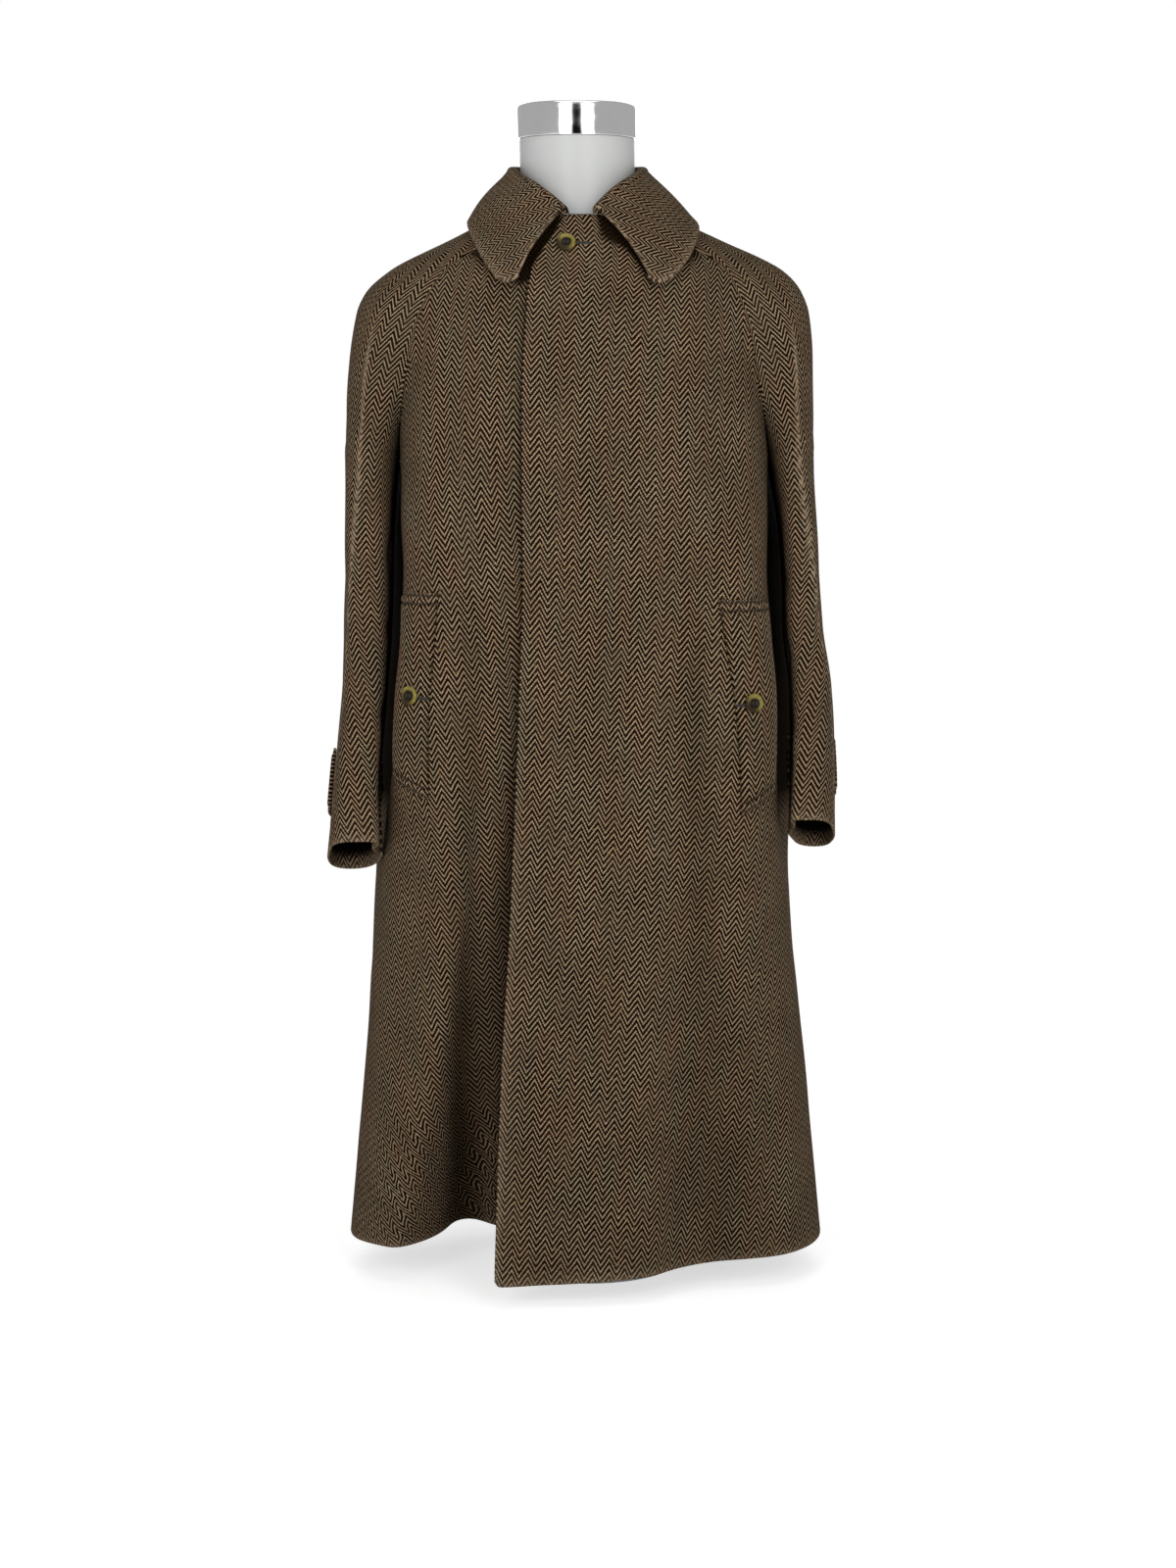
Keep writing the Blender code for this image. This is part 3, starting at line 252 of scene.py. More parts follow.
# Creases: lines of (distance across the panel, height, half width, depth); minus is a trough.
# A front is measured from its free edge, a back from the centre back, a sleeve from its under seam
CREASES = {
    "left front": (
        ((0.166, 0.8, 0.012, 0.0), (0.176, 0.74, 0.014, -0.003), (0.179, 0.65, 0.017, -0.0066),
         (0.184, 0.55, 0.018, -0.0066), (0.193, 0.45, 0.02, -0.005), (0.205, 0.35, 0.024, -0.003),
         (0.214, 0.25, 0.028, 0.0)),
        ((0.126, 0.76, 0.024, 0.0), (0.13, 0.65, 0.024, 0.0022), (0.136, 0.5, 0.026, 0.0028),
         (0.146, 0.35, 0.026, 0.003), (0.156, 0.2, 0.026, 0.0034), (0.163, 0.04, 0.026, 0.0036)),
        ((0.25, 0.52, 0.02, 0.0), (0.258, 0.43, 0.026, 0.003), (0.272, 0.3, 0.028, 0.0)),
        ((0.06, 0.3, 0.04, 0.0), (0.058, 0.16, 0.045, -0.002), (0.055, 0.04, 0.045, -0.0028)),
        ((0.205, 0.4, 0.03, 0.0), (0.222, 0.3, 0.045, -0.0042), (0.238, 0.18, 0.055, -0.0064),
         (0.252, 0.04, 0.06, -0.0074)),
        ((0.075, 1.01, 0.022, 0.0), (0.1, 0.96, 0.026, -0.001), (0.128, 0.9, 0.028, 0.0)),
        ((0.19, 0.96, 0.016, 0.0), (0.199, 0.9, 0.018, -0.0024), (0.203, 0.83, 0.018, 0.0))),
    "right front": (
        ((0.146, 0.805, 0.01, 0.0), (0.15, 0.72, 0.014, -0.0032), (0.148, 0.64, 0.016, -0.0056),
         (0.147, 0.55, 0.018, -0.0072), (0.147, 0.45, 0.021, -0.0098), (0.143, 0.35, 0.024, -0.0122),
         (0.133, 0.25, 0.025, -0.0132), (0.127, 0.15, 0.026, -0.0136), (0.143, 0.04, 0.026, -0.0132)),
        ((0.178, 0.62, 0.02, 0.0), (0.176, 0.48, 0.022, 0.0028), (0.172, 0.33, 0.026, 0.0)),
        ((0.158, 0.3, 0.026, 0.0), (0.162, 0.15, 0.03, -0.0026), (0.164, 0.04, 0.03, -0.004)),
        ((0.17, 0.965, 0.016, 0.0), (0.179, 0.9, 0.018, -0.0022), (0.184, 0.83, 0.018, 0.0))),
    "left back": (
        ((0.06, 0.56, 0.026, 0.0), (0.066, 0.36, 0.032, -0.004), (0.072, 0.06, 0.036, -0.007)),
        ((0.13, 0.7, 0.022, 0.0), (0.138, 0.48, 0.028, 0.0036), (0.15, 0.1, 0.034, 0.006)),
        ((0.105, 1.01, 0.022, 0.0), (0.135, 0.93, 0.024, -0.0026), (0.16, 0.85, 0.026, 0.0)),
        ((0.03, 0.82, 0.03, 0.0), (0.045, 0.74, 0.03, -0.0018), (0.08, 0.68, 0.028, 0.0))),
    "right back": (
        ((0.052, 0.6, 0.026, 0.0), (0.06, 0.38, 0.03, -0.0044), (0.064, 0.05, 0.036, -0.0066)),
        ((0.12, 0.66, 0.022, 0.0), (0.132, 0.42, 0.028, 0.0034), (0.146, 0.08, 0.032, 0.0058)),
        ((0.1, 1.0, 0.02, 0.0), (0.128, 0.935, 0.024, -0.0024), (0.152, 0.86, 0.026, 0.0)),
        ((0.04, 0.78, 0.028, 0.0), (0.07, 0.73, 0.028, -0.002), (0.105, 0.69, 0.026, 0.0))),
    "left sleeve front": (
        ((0.04, 0.76, 0.01, 0.0), (0.062, 0.742, 0.012, -0.0016), (0.086, 0.735, 0.01, 0.0)),
        ((0.03, 0.69, 0.01, 0.0), (0.054, 0.668, 0.012, -0.002), (0.082, 0.66, 0.01, 0.0)),
        ((0.036, 0.61, 0.012, 0.0), (0.06, 0.588, 0.013, -0.0018), (0.09, 0.58, 0.012, 0.0)),
        ((0.07, 0.56, 0.014, 0.0), (0.076, 0.525, 0.014, 0.0016), (0.078, 0.49, 0.014, 0.002)),
        ((0.058, 0.96, 0.014, 0.0), (0.05, 0.9, 0.015, -0.002), (0.046, 0.84, 0.014, 0.0))),
    "right sleeve front": (
        ((0.036, 0.8, 0.012, 0.0), (0.058, 0.776, 0.013, -0.0016), (0.084, 0.768, 0.012, 0.0)),
        ((0.028, 0.712, 0.011, 0.0), (0.052, 0.694, 0.012, -0.002), (0.08, 0.69, 0.01, 0.0)),
        ((0.034, 0.622, 0.012, 0.0), (0.058, 0.6, 0.014, -0.0022), (0.092, 0.592, 0.012, 0.0)),
        ((0.078, 0.56, 0.014, 0.0), (0.082, 0.515, 0.014, 0.0018), (0.084, 0.47, 0.014, 0.0022)),
        ((0.062, 0.965, 0.014, 0.0), (0.054, 0.905, 0.015, -0.002), (0.05, 0.845, 0.014, 0.0))),
    "left sleeve back": (
        ((0.03, 0.735, 0.012, 0.0), (0.056, 0.712, 0.014, -0.0024), (0.09, 0.7, 0.012, 0.0)),
        ((0.036, 0.8, 0.012, 0.0), (0.062, 0.782, 0.013, -0.0018), (0.096, 0.776, 0.012, 0.0)),
        ((0.05, 0.99, 0.02, 0.0), (0.058, 0.92, 0.022, -0.002), (0.054, 0.84, 0.018, 0.0))),
    "right sleeve back": (
        ((0.03, 0.745, 0.012, 0.0), (0.056, 0.724, 0.014, -0.0024), (0.092, 0.712, 0.012, 0.0)),
        ((0.034, 0.815, 0.012, 0.0), (0.06, 0.796, 0.013, -0.0018), (0.094, 0.788, 0.012, 0.0)),
        ((0.052, 0.99, 0.02, 0.0), (0.06, 0.92, 0.022, -0.002), (0.056, 0.84, 0.018, 0.0))),
}
FOLD_SHADE = 0.86          # dark of the deepest troughs
FOLD_SHADE_DEPTH = 0.013   # and how deep those are
FOLD_SHADE_POWER = 1.2
FOLD_LIP = 0.28            # ridge beside a trough, as a share of its depth
FOLD_LIP_REACH = 2.1       # and how much wider it is
RIPPLE_WAVES = 7
RIPPLE_LENGTHS = (0.045, 0.15)
RIPPLE_LEAN = 0.5
RIPPLE_DEPTH = 0.0005
RIPPLE_SEEDS = {
    "left front": 11, "right front": 12, "left back": 21, "right back": 22, "left sleeve front": 31,
    "right sleeve front": 32, "left sleeve back": 33, "right sleeve back": 34, "collar": 41}

# Seams, edges and sewing
SEAM_CALM = 0.02           # reach beside a seam in which creases die out
SEAM_DIP = 0.0004
SEAM_DIP_WIDTH = 0.0026
ARM_RIDGE = Sizes("z inset", (   # of the sewn ridge along the sleeve, inside the outer line
    (1.05, 0.025), (0.93, 0.0215), (0.868, 0.019), (0.748, 0.01), (0.647, 0.007), (0.46, 0.005)))
ARM_RIDGE_HEIGHT = 0.0011
ARM_RIDGE_WIDTH = 0.0015
ARM_RIDGE_TOP = 1.035
ARM_RIDGE_FADE = 0.05
# Painted highlight along the sewn ridge, given through the wear's lightening
ARM_RIDGE_HIGHLIGHT = 2.4
FREE_EDGE_WALL = 0.001     # more wall at a folded front edge
FREE_EDGE_REACH = 0.007
SEAM_SHADE = 0.15
SEAM_SHADE_WIDTH = 0.0018
STITCH_INSETS = (0.0018, 0.0108)
STITCH_DIP = 0.0014
STITCH_DIP_WIDTH = 0.0016
STITCH_SHADE = 0.72
HEM_FACING = 0.055         # of tweed inside an edge, before the lining starts
CUFF_FACING = 0.01
LINING_BLEND = 0.004
STITCH_LENGTH = 0.0026
STITCH_GAP = 0.0013
STITCH_RADIUS = 0.00028
STITCH_ARCH = (-0.3, 0.7, 1.0, 0.7, -0.3)
WORN_REACH = 0.004
EDGE_WEAR_TOP_Z = 0.8      # the front edges are more worn further below this
EDGE_WEAR_SHARES = (0.1, 0.8)
CORNER_RADIUS = 0.006
WELT_EDGE_REACH = 0.004
WELT_EDGE_THIN = 0.42
WELT_END_WEAR = 0.6
WELT_SEWN_SHADE = 0.6 * STITCH_SHADE
STRAP_EDGE_THIN = 0.28
STRAP_EDGE_RUN = 6.0
STRAP_STITCH_INSET = 0.004
STRAP_TIP_BLUNT = 0.45
COLLAR_SWELL = 0.25
COLLAR_SWELL_REACH = 0.005
ROUNDING = {               # how far each edge bulges: top, bottom, start, end
    "front": (0.0008, 0.0012, 0.0014, 0.0), "back": (0.0008, 0.0012, 0.0, 0.0),
    "sleeve": (0.0, 0.0012, 0.0, 0.0), "welt": (0.0008, 0.0008, 0.0008, 0.0018),
    "strap": (0.0014, 0.0014, 0.0014, 0.0), "collar": (0.0022, 0.0022, 0.0004, 0.0022)}

# Dark of the cloth that faces the gap beside each sleeve, between two heights that it fades from.
# A turn is how far round the cloth starts to darken, and over what change of its normal
GAP_SHADE = 0.97
GAP_Z = (0.49, 0.885)
GAP_FADE = (0.03, 0.02)
FRONT_TURN = (0.22, 0.25)
BACK_TURN = (0.45, 0.3)
SLEEVE_TURN = (0.22, 0.25)

# Dark beside the lap: (share, reach) of a wide one, which comes in below two heights, and a narrow one
LAP_SHADES = ((0.3, 0.022), (0.88, 0.004))
LAP_LOW_Z = (0.42, 0.64)

# Dark under the collar's front edges, with a peak on each side: place along the edge and reach
COLLAR_SHADE = 0.95
COLLAR_SHADE_REACH = 0.003
COLLAR_SHADE_PEAK = {"left": (0.26, 0.02), "right": (0.72, 0.018)}
COLLAR_SHADE_SPREAD = 0.18
COLLAR_SHADE_END = 0.92
COLLAR_SHADE_END_RUN = 0.08

# Weave
COLUMN_WIDTH = 0.00848
LINE_PITCH = 0.0069
LINE_RISE = 1.6
COLUMN_SKEW = 0.17         # of the lines, which start anew at each turn of the herringbone
YARN = 0.00141
LEAST_RISE = 0.12          # square of the least rise that level cloth is given
WEAVE_START = {"back": 1.3, "sleeve": 2.1, "welt": 0.9, "strap": 3.3, "collar": (4.2, 0.5)}
SAG = 0.08                 # how far the rows of a front drop towards its side
UNDER_GRAIN_LEAN = 0.08
UNDER_GRAIN_Z = 0.85
SLEEVE_GRAIN_LEAN = 0.085
SLEEVE_GRAIN_Z = 0.68
OVER_GRAIN_X = -0.057      # the over front's grain leaves its edge beyond this
OVER_GRAIN_Z = 1.0         # and above this
COLLAR_FAN = 0.71          # turn of the collar's grain at its front ends
COLLAR_FINER = 1.18
YOKE_FINER = 0.26          # closer rows near the neck
YOKE_FINER_Z = (1.035, 1.085)
COLLAR_FAN_POWER = 1.3
WELT_GRAIN_LEAN = {"left": 0.1, "right": 0.02}
SLEEVE_GRAIN = Sizes("z follow", (
    (1.137, 0.7), (1.06, 0.7), (1.0, 0.45), (0.95, 0.6), (0.88, 1.0), (0.46, 1.0)))

# Camera, as the photograph was taken, for a frame of 1200 by 1600
CAMERA_PLACE = (0.0084, -3.36, 0.927)
CAMERA_TILT = math.atan(380 / 3200)
CAMERA_SENSOR = 36.0
CAMERA_LENS = 72.0

# Stage: place, size and power of each soft light, the light from all round, and the floor
LIGHT_TARGET = (0.0, 0.0, 0.9)
LIGHTS = (
    ("soft_left", (-1.1, -2.8, 1.5), (1.17, 2.2), 32.2),
    ("soft_right", (1.1, -2.8, 1.5), (1.17, 2.2), 32.2),
    ("soft_top", (0.0, -0.9, 3.2), (2.2, 1.8), 13.0),
    ("soft_back", (0.0, 3.0, 1.6), (2.2, 2.2), 40.0))
WORLD_TINT = (0.98, 0.99, 1.0, 1.0)
WORLD_LIGHT = 0.2
WORLD_REFLECTED = 0.4
CARD = ((-0.5, 0.5), -3.75, (0.7, 2.3))
FLOOR_SIZE = 14.0
FLOOR_GLOW = 0.09
FLOOR_GLOW_SEEN = 0.62
FLOOR_NEAR = 0.5
FLOOR_FAR = 1.9


def unit(vectors):
    length = np.linalg.norm(vectors, axis=-1, keepdims=True)
    return vectors / np.maximum(length, 1e-9)


def smooth(t):
    """Eased share between 0 and 1, which it is held to."""
    t = np.clip(t, 0.0, 1.0)
    return t * t * (3.0 - 2.0 * t)


def bell(distance, width):
    return np.exp(-(distance / width) ** 2)


def running(steps):
    """Sums of the steps so far, from 0."""
    return np.concatenate(([0.0], np.cumsum(steps)))


def raised(points, distance, normals):
    """A grid of points moved along its normals."""
    return points + distance[:, :, None] * normals


def path_length(line):
    return running(np.linalg.norm(np.diff(line, axis=0), axis=1))


def along(line, distances):
    """Points at given distances along a line of points."""
    run = path_length(line)
    return np.stack([np.interp(distances, run, line[:, k]) for k in range(line.shape[1])], axis=1)


def quarter(turn, half, depth, power):
    """Quarter oval from its foremost point (turn, -depth) round to its side (half, 0)."""
    angle = np.linspace(0.0, math.pi / 2, LINE_POINTS)
    x = turn + (half - turn) * np.sin(angle) ** (2 / power)
    y = -depth * np.cos(angle) ** (2 / power)
    return np.stack((x, y), axis=1)


def sleeve_oval(side, z):
    row = SLEEVE.at(z)
    half = getattr(row, "half_" + side)
    middle_x = getattr(row, "out_" + side) - half
    return SimpleNamespace(x=middle_x, y=row.mid, half=half, depth=row.depth, power=row.power,
                           tilt=row.tilt, swing=row.swing)


def sleeve_half(side, z, facing):
    """Half a sleeve ring from the inner line to the outer line, over its front or back."""
    oval = sleeve_oval(side, z)
    angle = np.linspace(0.0, math.pi, LINE_POINTS)
    cosine = -np.cos(angle)
    power = oval.power
    if facing < 0:
        power += SLEEVE_SQUARER * smooth((UNDERARM_Z - z) / SLEEVE_SQUARE_RUN)
    x = oval.x + oval.half * np.sign(cosine) * np.abs(cosine) ** (2 / power)
    y = oval.y + facing * oval.depth * np.sin(angle) ** (2 / power)
    x = x + oval.swing * (y - oval.y)
    return np.stack((x, y), axis=1)


def body_half(side, z, facing):
    """Body oval from its middle line round to the side; facing -1 is the front."""
    row = BODY.at(z)
    half = getattr(row, side)
    if facing > 0:
        widest = half + getattr(row, "flare_" + side)
        line = quarter(0.0, widest, row.back - row.flare_y, row.back_power)
        line[:, 1] = row.flare_y - line[:, 1]
        if row.flare_y > 0.0:
            line = soften(np.concatenate((line, [(half, 0.0)])), row.blend)
        return line
    front = (OVER if side == "left" else UNDER).at(z)
    return quarter(front.turn, half, front.front, front.power)


def soften(line, width):
    """Round a line of points with a moving average; both ends are mirrored to hold them."""
    run = path_length(line)
    line = along(line, np.linspace(0.0, run[-1], int(run[-1] / SOFTEN_STEP) + 1))
    reach = max(int(SOFTEN_REACH * width / SOFTEN_STEP), 1)
    start = line[1:reach + 1][::-1].copy()
    start[:, 0] = 2.0 * line[0, 0] - start[:, 0]
    end = line[-reach - 1:-1][::-1].copy()
    end[:, 1] = 2.0 * line[-1, 1] - end[:, 1]
    padded = np.concatenate((start, line, end))
    kernel = np.exp(-0.5 * (np.arange(-reach, reach + 1) * SOFTEN_STEP / width) ** 2)
    kernel /= kernel.sum()
    return np.stack([np.convolve(padded[:, k], kernel, mode="valid") for k in (0, 1)], axis=1)


@functools.lru_cache(maxsize=None)
def yoke_line(side, z, facing):
    """Above the underarm: one line over body and sleeve, and how far along it the seam is."""
    body = body_half(side, z, facing)
    sleeve = sleeve_half(side, z, facing)
    oval = sleeve_oval(side, z)
    inside = (np.abs((body[:, 0] - oval.x) / oval.half) ** oval.power
              + np.abs((body[:, 1] - oval.y) / oval.depth) ** oval.power) < 1.0
    cut = int(np.argmax(inside)) if inside.any() else len(body) - 1
    near = int(np.argmin(np.linalg.norm(sleeve - body[cut], axis=1)))
    corner = body[cut]
    line = soften(np.concatenate((body[:cut], sleeve[near:])), BODY.at(z).blend)
    nearest = int(np.argmin(np.linalg.norm(line - corner, axis=1)))
    return line, path_length(line)[nearest]


@functools.lru_cache(maxsize=None)
def panel_line(kind, side, facing, z):
    """Section of a body or sleeve panel, between its seams or from a front's middle line."""
    if z >= UNDERARM_Z:
        line, seam = yoke_line(side, z, facing)
        start, end = (0.0, seam) if kind == "body" else (seam, path_length(line)[-1])
        return along(line, np.linspace(start, end, LINE_POINTS))
    if kind == "body":
        return body_half(side, z, facing)
    return sleeve_half(side, z, facing)


@functools.lru_cache(maxsize=None)
def panel_run(kind, side, facing, z):
    return float(path_length(panel_line(kind, side, facing, z))[-1])


def steady_run(kind, side, facing, z):
    """Panel width that changes slowly past the underarm, where the true one jumps."""
    high, low = UNDERARM_Z + STEADY_ABOVE, UNDERARM_Z - STEADY_BELOW
    if z >= high or z <= low:
        return panel_run(kind, side, facing, z)
    t = smooth((z - low) / (high - low))
    return (t * panel_run(kind, side, facing, high)
            + (1.0 - t) * panel_run(kind, side, facing, low))


def seam_trim(side, facing, z):
    """Half the gap at a raglan seam, wider along the level where the seam runs nearly level."""
    if z < UNDERARM_Z:
        return 0.5 * SEAM
    other = z + SEAM_STEP if z < NECK_Z - SEAM_STEP else z - SEAM_STEP
    line = panel_line("sleeve", side, facing, z)
    above = panel_line("sleeve", side, facing, other)
    way = unit(np.array((*(above[0] - line[0]), other - z)))
    level = unit(np.array((*(line[2] - line[0]), 0.0)))
    return 0.5 * SEAM / max(float(np.linalg.norm(np.cross(way, level))), STEEPEST_SEAM)


def spread_columns(shares, run, steady):
    """Distances of columns: evenly by the steady width, with the seam's jump near the seam."""
    return shares * steady + (run - steady) * shares ** SEAM_PULL


def fold_offset(name, z, shares, length):
    """How far the panel's largest fold pushes it out at these shares of its width."""
    if name not in FOLDS:
        return np.zeros(len(shares))
    fold = FOLDS[name].at(z)
    return fold.depth * bell((shares - fold.share) * length, fold.width)


def push_out(line, offsets, facing):
    """Move points of a section along its outward normal."""
    tangent = unit(np.gradient(line, axis=0))
    normal = np.stack((tangent[:, 1], -tangent[:, 0]), axis=1) * -facing
    return line + normal * offsets[:, None]


def body_row(side, facing, z, shares):
    """One level of a front (facing -1) or a back (facing +1), from its edge to its seam."""
    line = panel_line("body", side, facing, z)
    steady = steady_run("body", side, facing, z) - path_length(line)[-1]
    trim = seam_trim(side, facing, z)
    edge_trim = 0.5 * SEAM
    if facing < 0:
        front = (OVER if side == "left" else UNDER).at(z)
        beyond = line[:LINE_POINTS // 2].copy()
        beyond[:, 0] = 2.0 * line[0, 0] - beyond[:, 0]
        edge = (front.edge, np.interp(-front.edge, -beyond[:, 0], beyond[:, 1]))
        beyond = beyond[beyond[:, 0] > front.edge][1:]
        line = np.concatenate(([edge], beyond[::-1], line))
        edge_trim = 0.0
    run = path_length(line)[-1]
    places = spread_columns(shares, run, run + steady)
    flat = along(line, edge_trim + places * (run - trim - edge_trim) / run)
    name = side + (" front" if facing < 0 else " back")
    flat = push_out(flat, fold_offset(name, z, shares, run), facing)
    if facing < 0 and side == "right":
        over_edge = -OVER.at(z).edge
        ramp = (over_edge + front.reach + front.ramp - flat[:, 0]) / front.ramp
        flat[:, 1] += front.sink * smooth(ramp)
    low = ((UNDERARM_Z - min(z, UNDERARM_Z)) / (UNDERARM_Z - HEM_Z)) ** HEM_DROP_POWER
    height = z + BODY.at(z).tilt * flat[:, 1]
    if facing < 0:
        height = height + HEM_DROP[side] * low * (1.0 - shares)
    return np.stack((WAY[side] * flat[:, 0], flat[:, 1], height), axis=1)


def sleeve_row(side, facing, z, shares):
    """One level of half a sleeve, from its raglan or under seam to the over-arm seam."""
    row = SLEEVE.at(z)
    trim = seam_trim(side, facing, z)
    line = panel_line("sleeve", side, facing, z)
    run = path_length(line)[-1]
    places = run - spread_columns(1.0 - shares, run, steady_run("sleeve", side, facing, z))
    flat = along(line, trim + places * (run - trim - 0.5 * SEAM) / run)
    name = side + " sleeve" + (" front" if facing < 0 else " back")
    flat = push_out(flat, fold_offset(name, z, shares, run), facing)
    height = z + BODY.at(z).tilt * flat[:, 1] - row.tilt * (flat[:, 1] - row.mid)
    return np.stack((WAY[side] * flat[:, 0], flat[:, 1], height), axis=1)


# Fine levels and columns of the panels
END_SHARES = (0.0, 0.25, 0.55)


def close_ends(start, end, count, close):
    """Evenly spaced values with a few more beside both ends."""
    step = math.copysign(close, end - start)
    shares = np.array(END_SHARES)
    return np.concatenate((start + shares * step, np.linspace(start + step, end - step, count),
                           end - shares[::-1] * step))


YOKE_LEVELS = np.linspace(NECK_Z, UNDERARM_Z, 60)
FRONT_LEVELS = np.concatenate((YOKE_LEVELS, np.linspace(UNDERARM_Z, HEM_Z, 150)[1:]))
STITCHED_SHARE = 0.08
WELT_ROWS = np.concatenate((
    np.linspace(0.0, STITCHED_SHARE, 19), np.linspace(STITCHED_SHARE, 1.0 - STITCHED_SHARE, 42)[1:-1],
    np.linspace(1.0 - STITCHED_SHARE, 1.0, 19)))
BACK_LEVELS = np.concatenate((YOKE_LEVELS, np.linspace(UNDERARM_Z, HEM_Z, 120)[1:]))
FRONT_FIRST = (0.0, 0.003, 0.007)
FRONT_INNER = (0.012, 0.988)
FRONT_LAST = (0.993, 0.997, 1.0)
FRONT_COLUMNS = 46
WELT_FIRST = FRONT_COLUMNS + len(FRONT_FIRST)
WELT_SPANS = 30
SIDE_COLUMNS = 20
BACK_SHARES = close_ends(0.0, 1.0, 62, 0.014)
SLEEVE_SHARES = close_ends(0.0, 1.0, 46, 0.024)
ARM_LEVELS = 96
CUFF_CLOSE = 0.004
STRAP_COLUMNS = 64
STRAP_ROWS = 26
STRAP_SAMPLES = 60
COLLAR_SHARES = np.concatenate((np.linspace(0.0, 0.92, 70), np.linspace(0.92, 1.0, 26)[1:]))
ROLL_STEPS = 11
STAND_STEPS = 7
FALL_STEPS = 34
FALL_FADE_STEPS = 4.0


def welt_edge(side, z):
    """Share of the front's width at which the welt is sewn on."""
    slant = np.clip((WELT_TOP_Z[side] - z) / (WELT_TOP_Z[side] - WELT_SEWN_BOTTOM_Z[side]), 0.0, 1.0)
    return WELT_SEWN_TOP[side] + slant * (WELT_SEWN_BOTTOM[side] - WELT_SEWN_TOP[side])


def front_shares(side, z):
    """Columns of a front, closer beside its two edges, with one on each long edge of the welt."""
    sewn, free = welt_edge(side, z), WELT_FREE[side]
    first, last = FRONT_INNER
    return np.concatenate((FRONT_FIRST, np.linspace(first, sewn, FRONT_COLUMNS, endpoint=False),
                           np.linspace(sewn, free, WELT_SPANS, endpoint=False),
                           np.linspace(free, last, SIDE_COLUMNS), FRONT_LAST))


def press_folds(across, height, folds):
    """Offsets of listed troughs and ridges at these places of a panel."""
    total = np.zeros_like(across)
    for fold in folds:
        nearest = np.full_like(across, np.inf)
        offset = np.zeros_like(across)
        for (a0, b0, w0, d0), (a1, b1, w1, d1) in zip(fold, fold[1:]):
            run_a, run_b = a1 - a0, b1 - b0
            t = ((across - a0) * run_a + (height - b0) * run_b) / (run_a ** 2 + run_b ** 2)
            t = np.clip(t, 0.0, 1.0)
            away = (across - a0 - t * run_a) ** 2 + (height - b0 - t * run_b) ** 2
            spread = away / (w0 + t * (w1 - w0)) ** 2
            depth = d0 + smooth(t) * (d1 - d0)
            value = depth * (np.exp(-spread) - FOLD_LIP * np.exp(-spread / FOLD_LIP_REACH ** 2))
            offset = np.where(away < nearest, value, offset)
            nearest = np.minimum(nearest, away)
        total += offset
    return total


def ripple(across, height, seed):
    """Slow unevenness of hanging cloth."""
    numbers = np.random.default_rng(seed)
    total = np.zeros_like(across)
    for _ in range(RIPPLE_WAVES):
        length = numbers.uniform(*RIPPLE_LENGTHS)
        lean = numbers.normal(0.0, RIPPLE_LEAN)
        phase = numbers.uniform(0.0, 2.0 * math.pi)
        run = across * math.cos(lean) + height * math.sin(lean)
        total += np.sin(2.0 * math.pi * run / length + phase)
    return RIPPLE_DEPTH * total / math.sqrt(RIPPLE_WAVES)


def grid_normals(points, turn):
    across = np.gradient(points, axis=1)
    down = np.gradient(points, axis=0)
    return unit(np.cross(across, down)) * turn


def lay_out(name, row_at, levels, shares_at, turn, seams):
    """Displaced points of a panel, with normals and distances across, up and from its hem."""
    levels = [float(z) for z in levels]
    points = np.array([row_at(z, shares_at(z)) for z in levels])
    normals = grid_normals(points, turn)
    steps = np.linalg.norm(np.diff(points, axis=1), axis=2)
    across = np.concatenate((np.zeros((len(levels), 1)), np.cumsum(steps, axis=1)), axis=1)
    height = np.repeat(np.array(levels)[:, None], points.shape[1], axis=1)
    offset = press_folds(across, height, CREASES[name]) + ripple(across, height, RIPPLE_SEEDS[name])
    seam_away = np.full_like(across, 1.0)
    if "start" in seams:
        seam_away = np.minimum(seam_away, across)
    if "end" in seams:
        seam_away = np.minimum(seam_away, across[:, -1:] - across)
    calm = 1.0 - bell(seam_away, SEAM_CALM)
    offset = offset * calm - SEAM_DIP * bell(seam_away, SEAM_DIP_WIDTH)
    rise = np.sqrt(np.maximum(1.0 - normals[:, :, 2] ** 2, LEAST_RISE))
    mean_rise = 0.5 * (rise[1:] + rise[:-1])
    near_neck = (height[1:] - YOKE_FINER_Z[0]) / (YOKE_FINER_Z[1] - YOKE_FINER_Z[0])
    finer = 1.0 + YOKE_FINER * smooth(near_neck)
    climb = np.diff(height, axis=0) / mean_rise * finer
    up = np.concatenate((np.zeros((1, points.shape[1])), np.cumsum(climb, axis=0)))
    up = up - up[-1:] + height[-1:]
    moved = raised(points, offset, normals)
    # Painted shade along the seams and in the troughs
    deep = np.clip(-offset / FOLD_SHADE_DEPTH, 0.0, 1.0) ** FOLD_SHADE_POWER
    painted_shade = np.maximum(SEAM_SHADE * bell(seam_away, SEAM_SHADE_WIDTH), FOLD_SHADE * deep)
    return SimpleNamespace(points=moved, normals=grid_normals(moved, turn), across=across, up=up,
                           height=height, from_hem=height - height[-1:], flat=points, painted_shade=painted_shade)


# Meshes, and where the outside, inside and rim of a cloth piece lie on its map for baking
BAKE_OUTER = ((0.01, 0.01), (0.58, 0.98))
BAKE_INNER = ((0.61, 0.01), (0.33, 0.98))
BAKE_RIM = (0.955, 0.97)
BAKE_RIM_STEP = 0.02
LEAN_SAMPLES = 400
THREAD_SIDES = 6
ALONG_Y = 0.8              # a thread this much along Y needs another helper


def lean_over(points):
    """Give points the sideways lean of the whole coat."""
    keys = LEAN.keys
    fine = np.linspace(keys[0], keys[-1], LEAN_SAMPLES)
    shift = np.array([LEAN.at(z).x for z in fine])
    moved = np.array(points, float)
    moved[:, 0] += np.interp(moved[:, 2], fine, shift)
    return moved


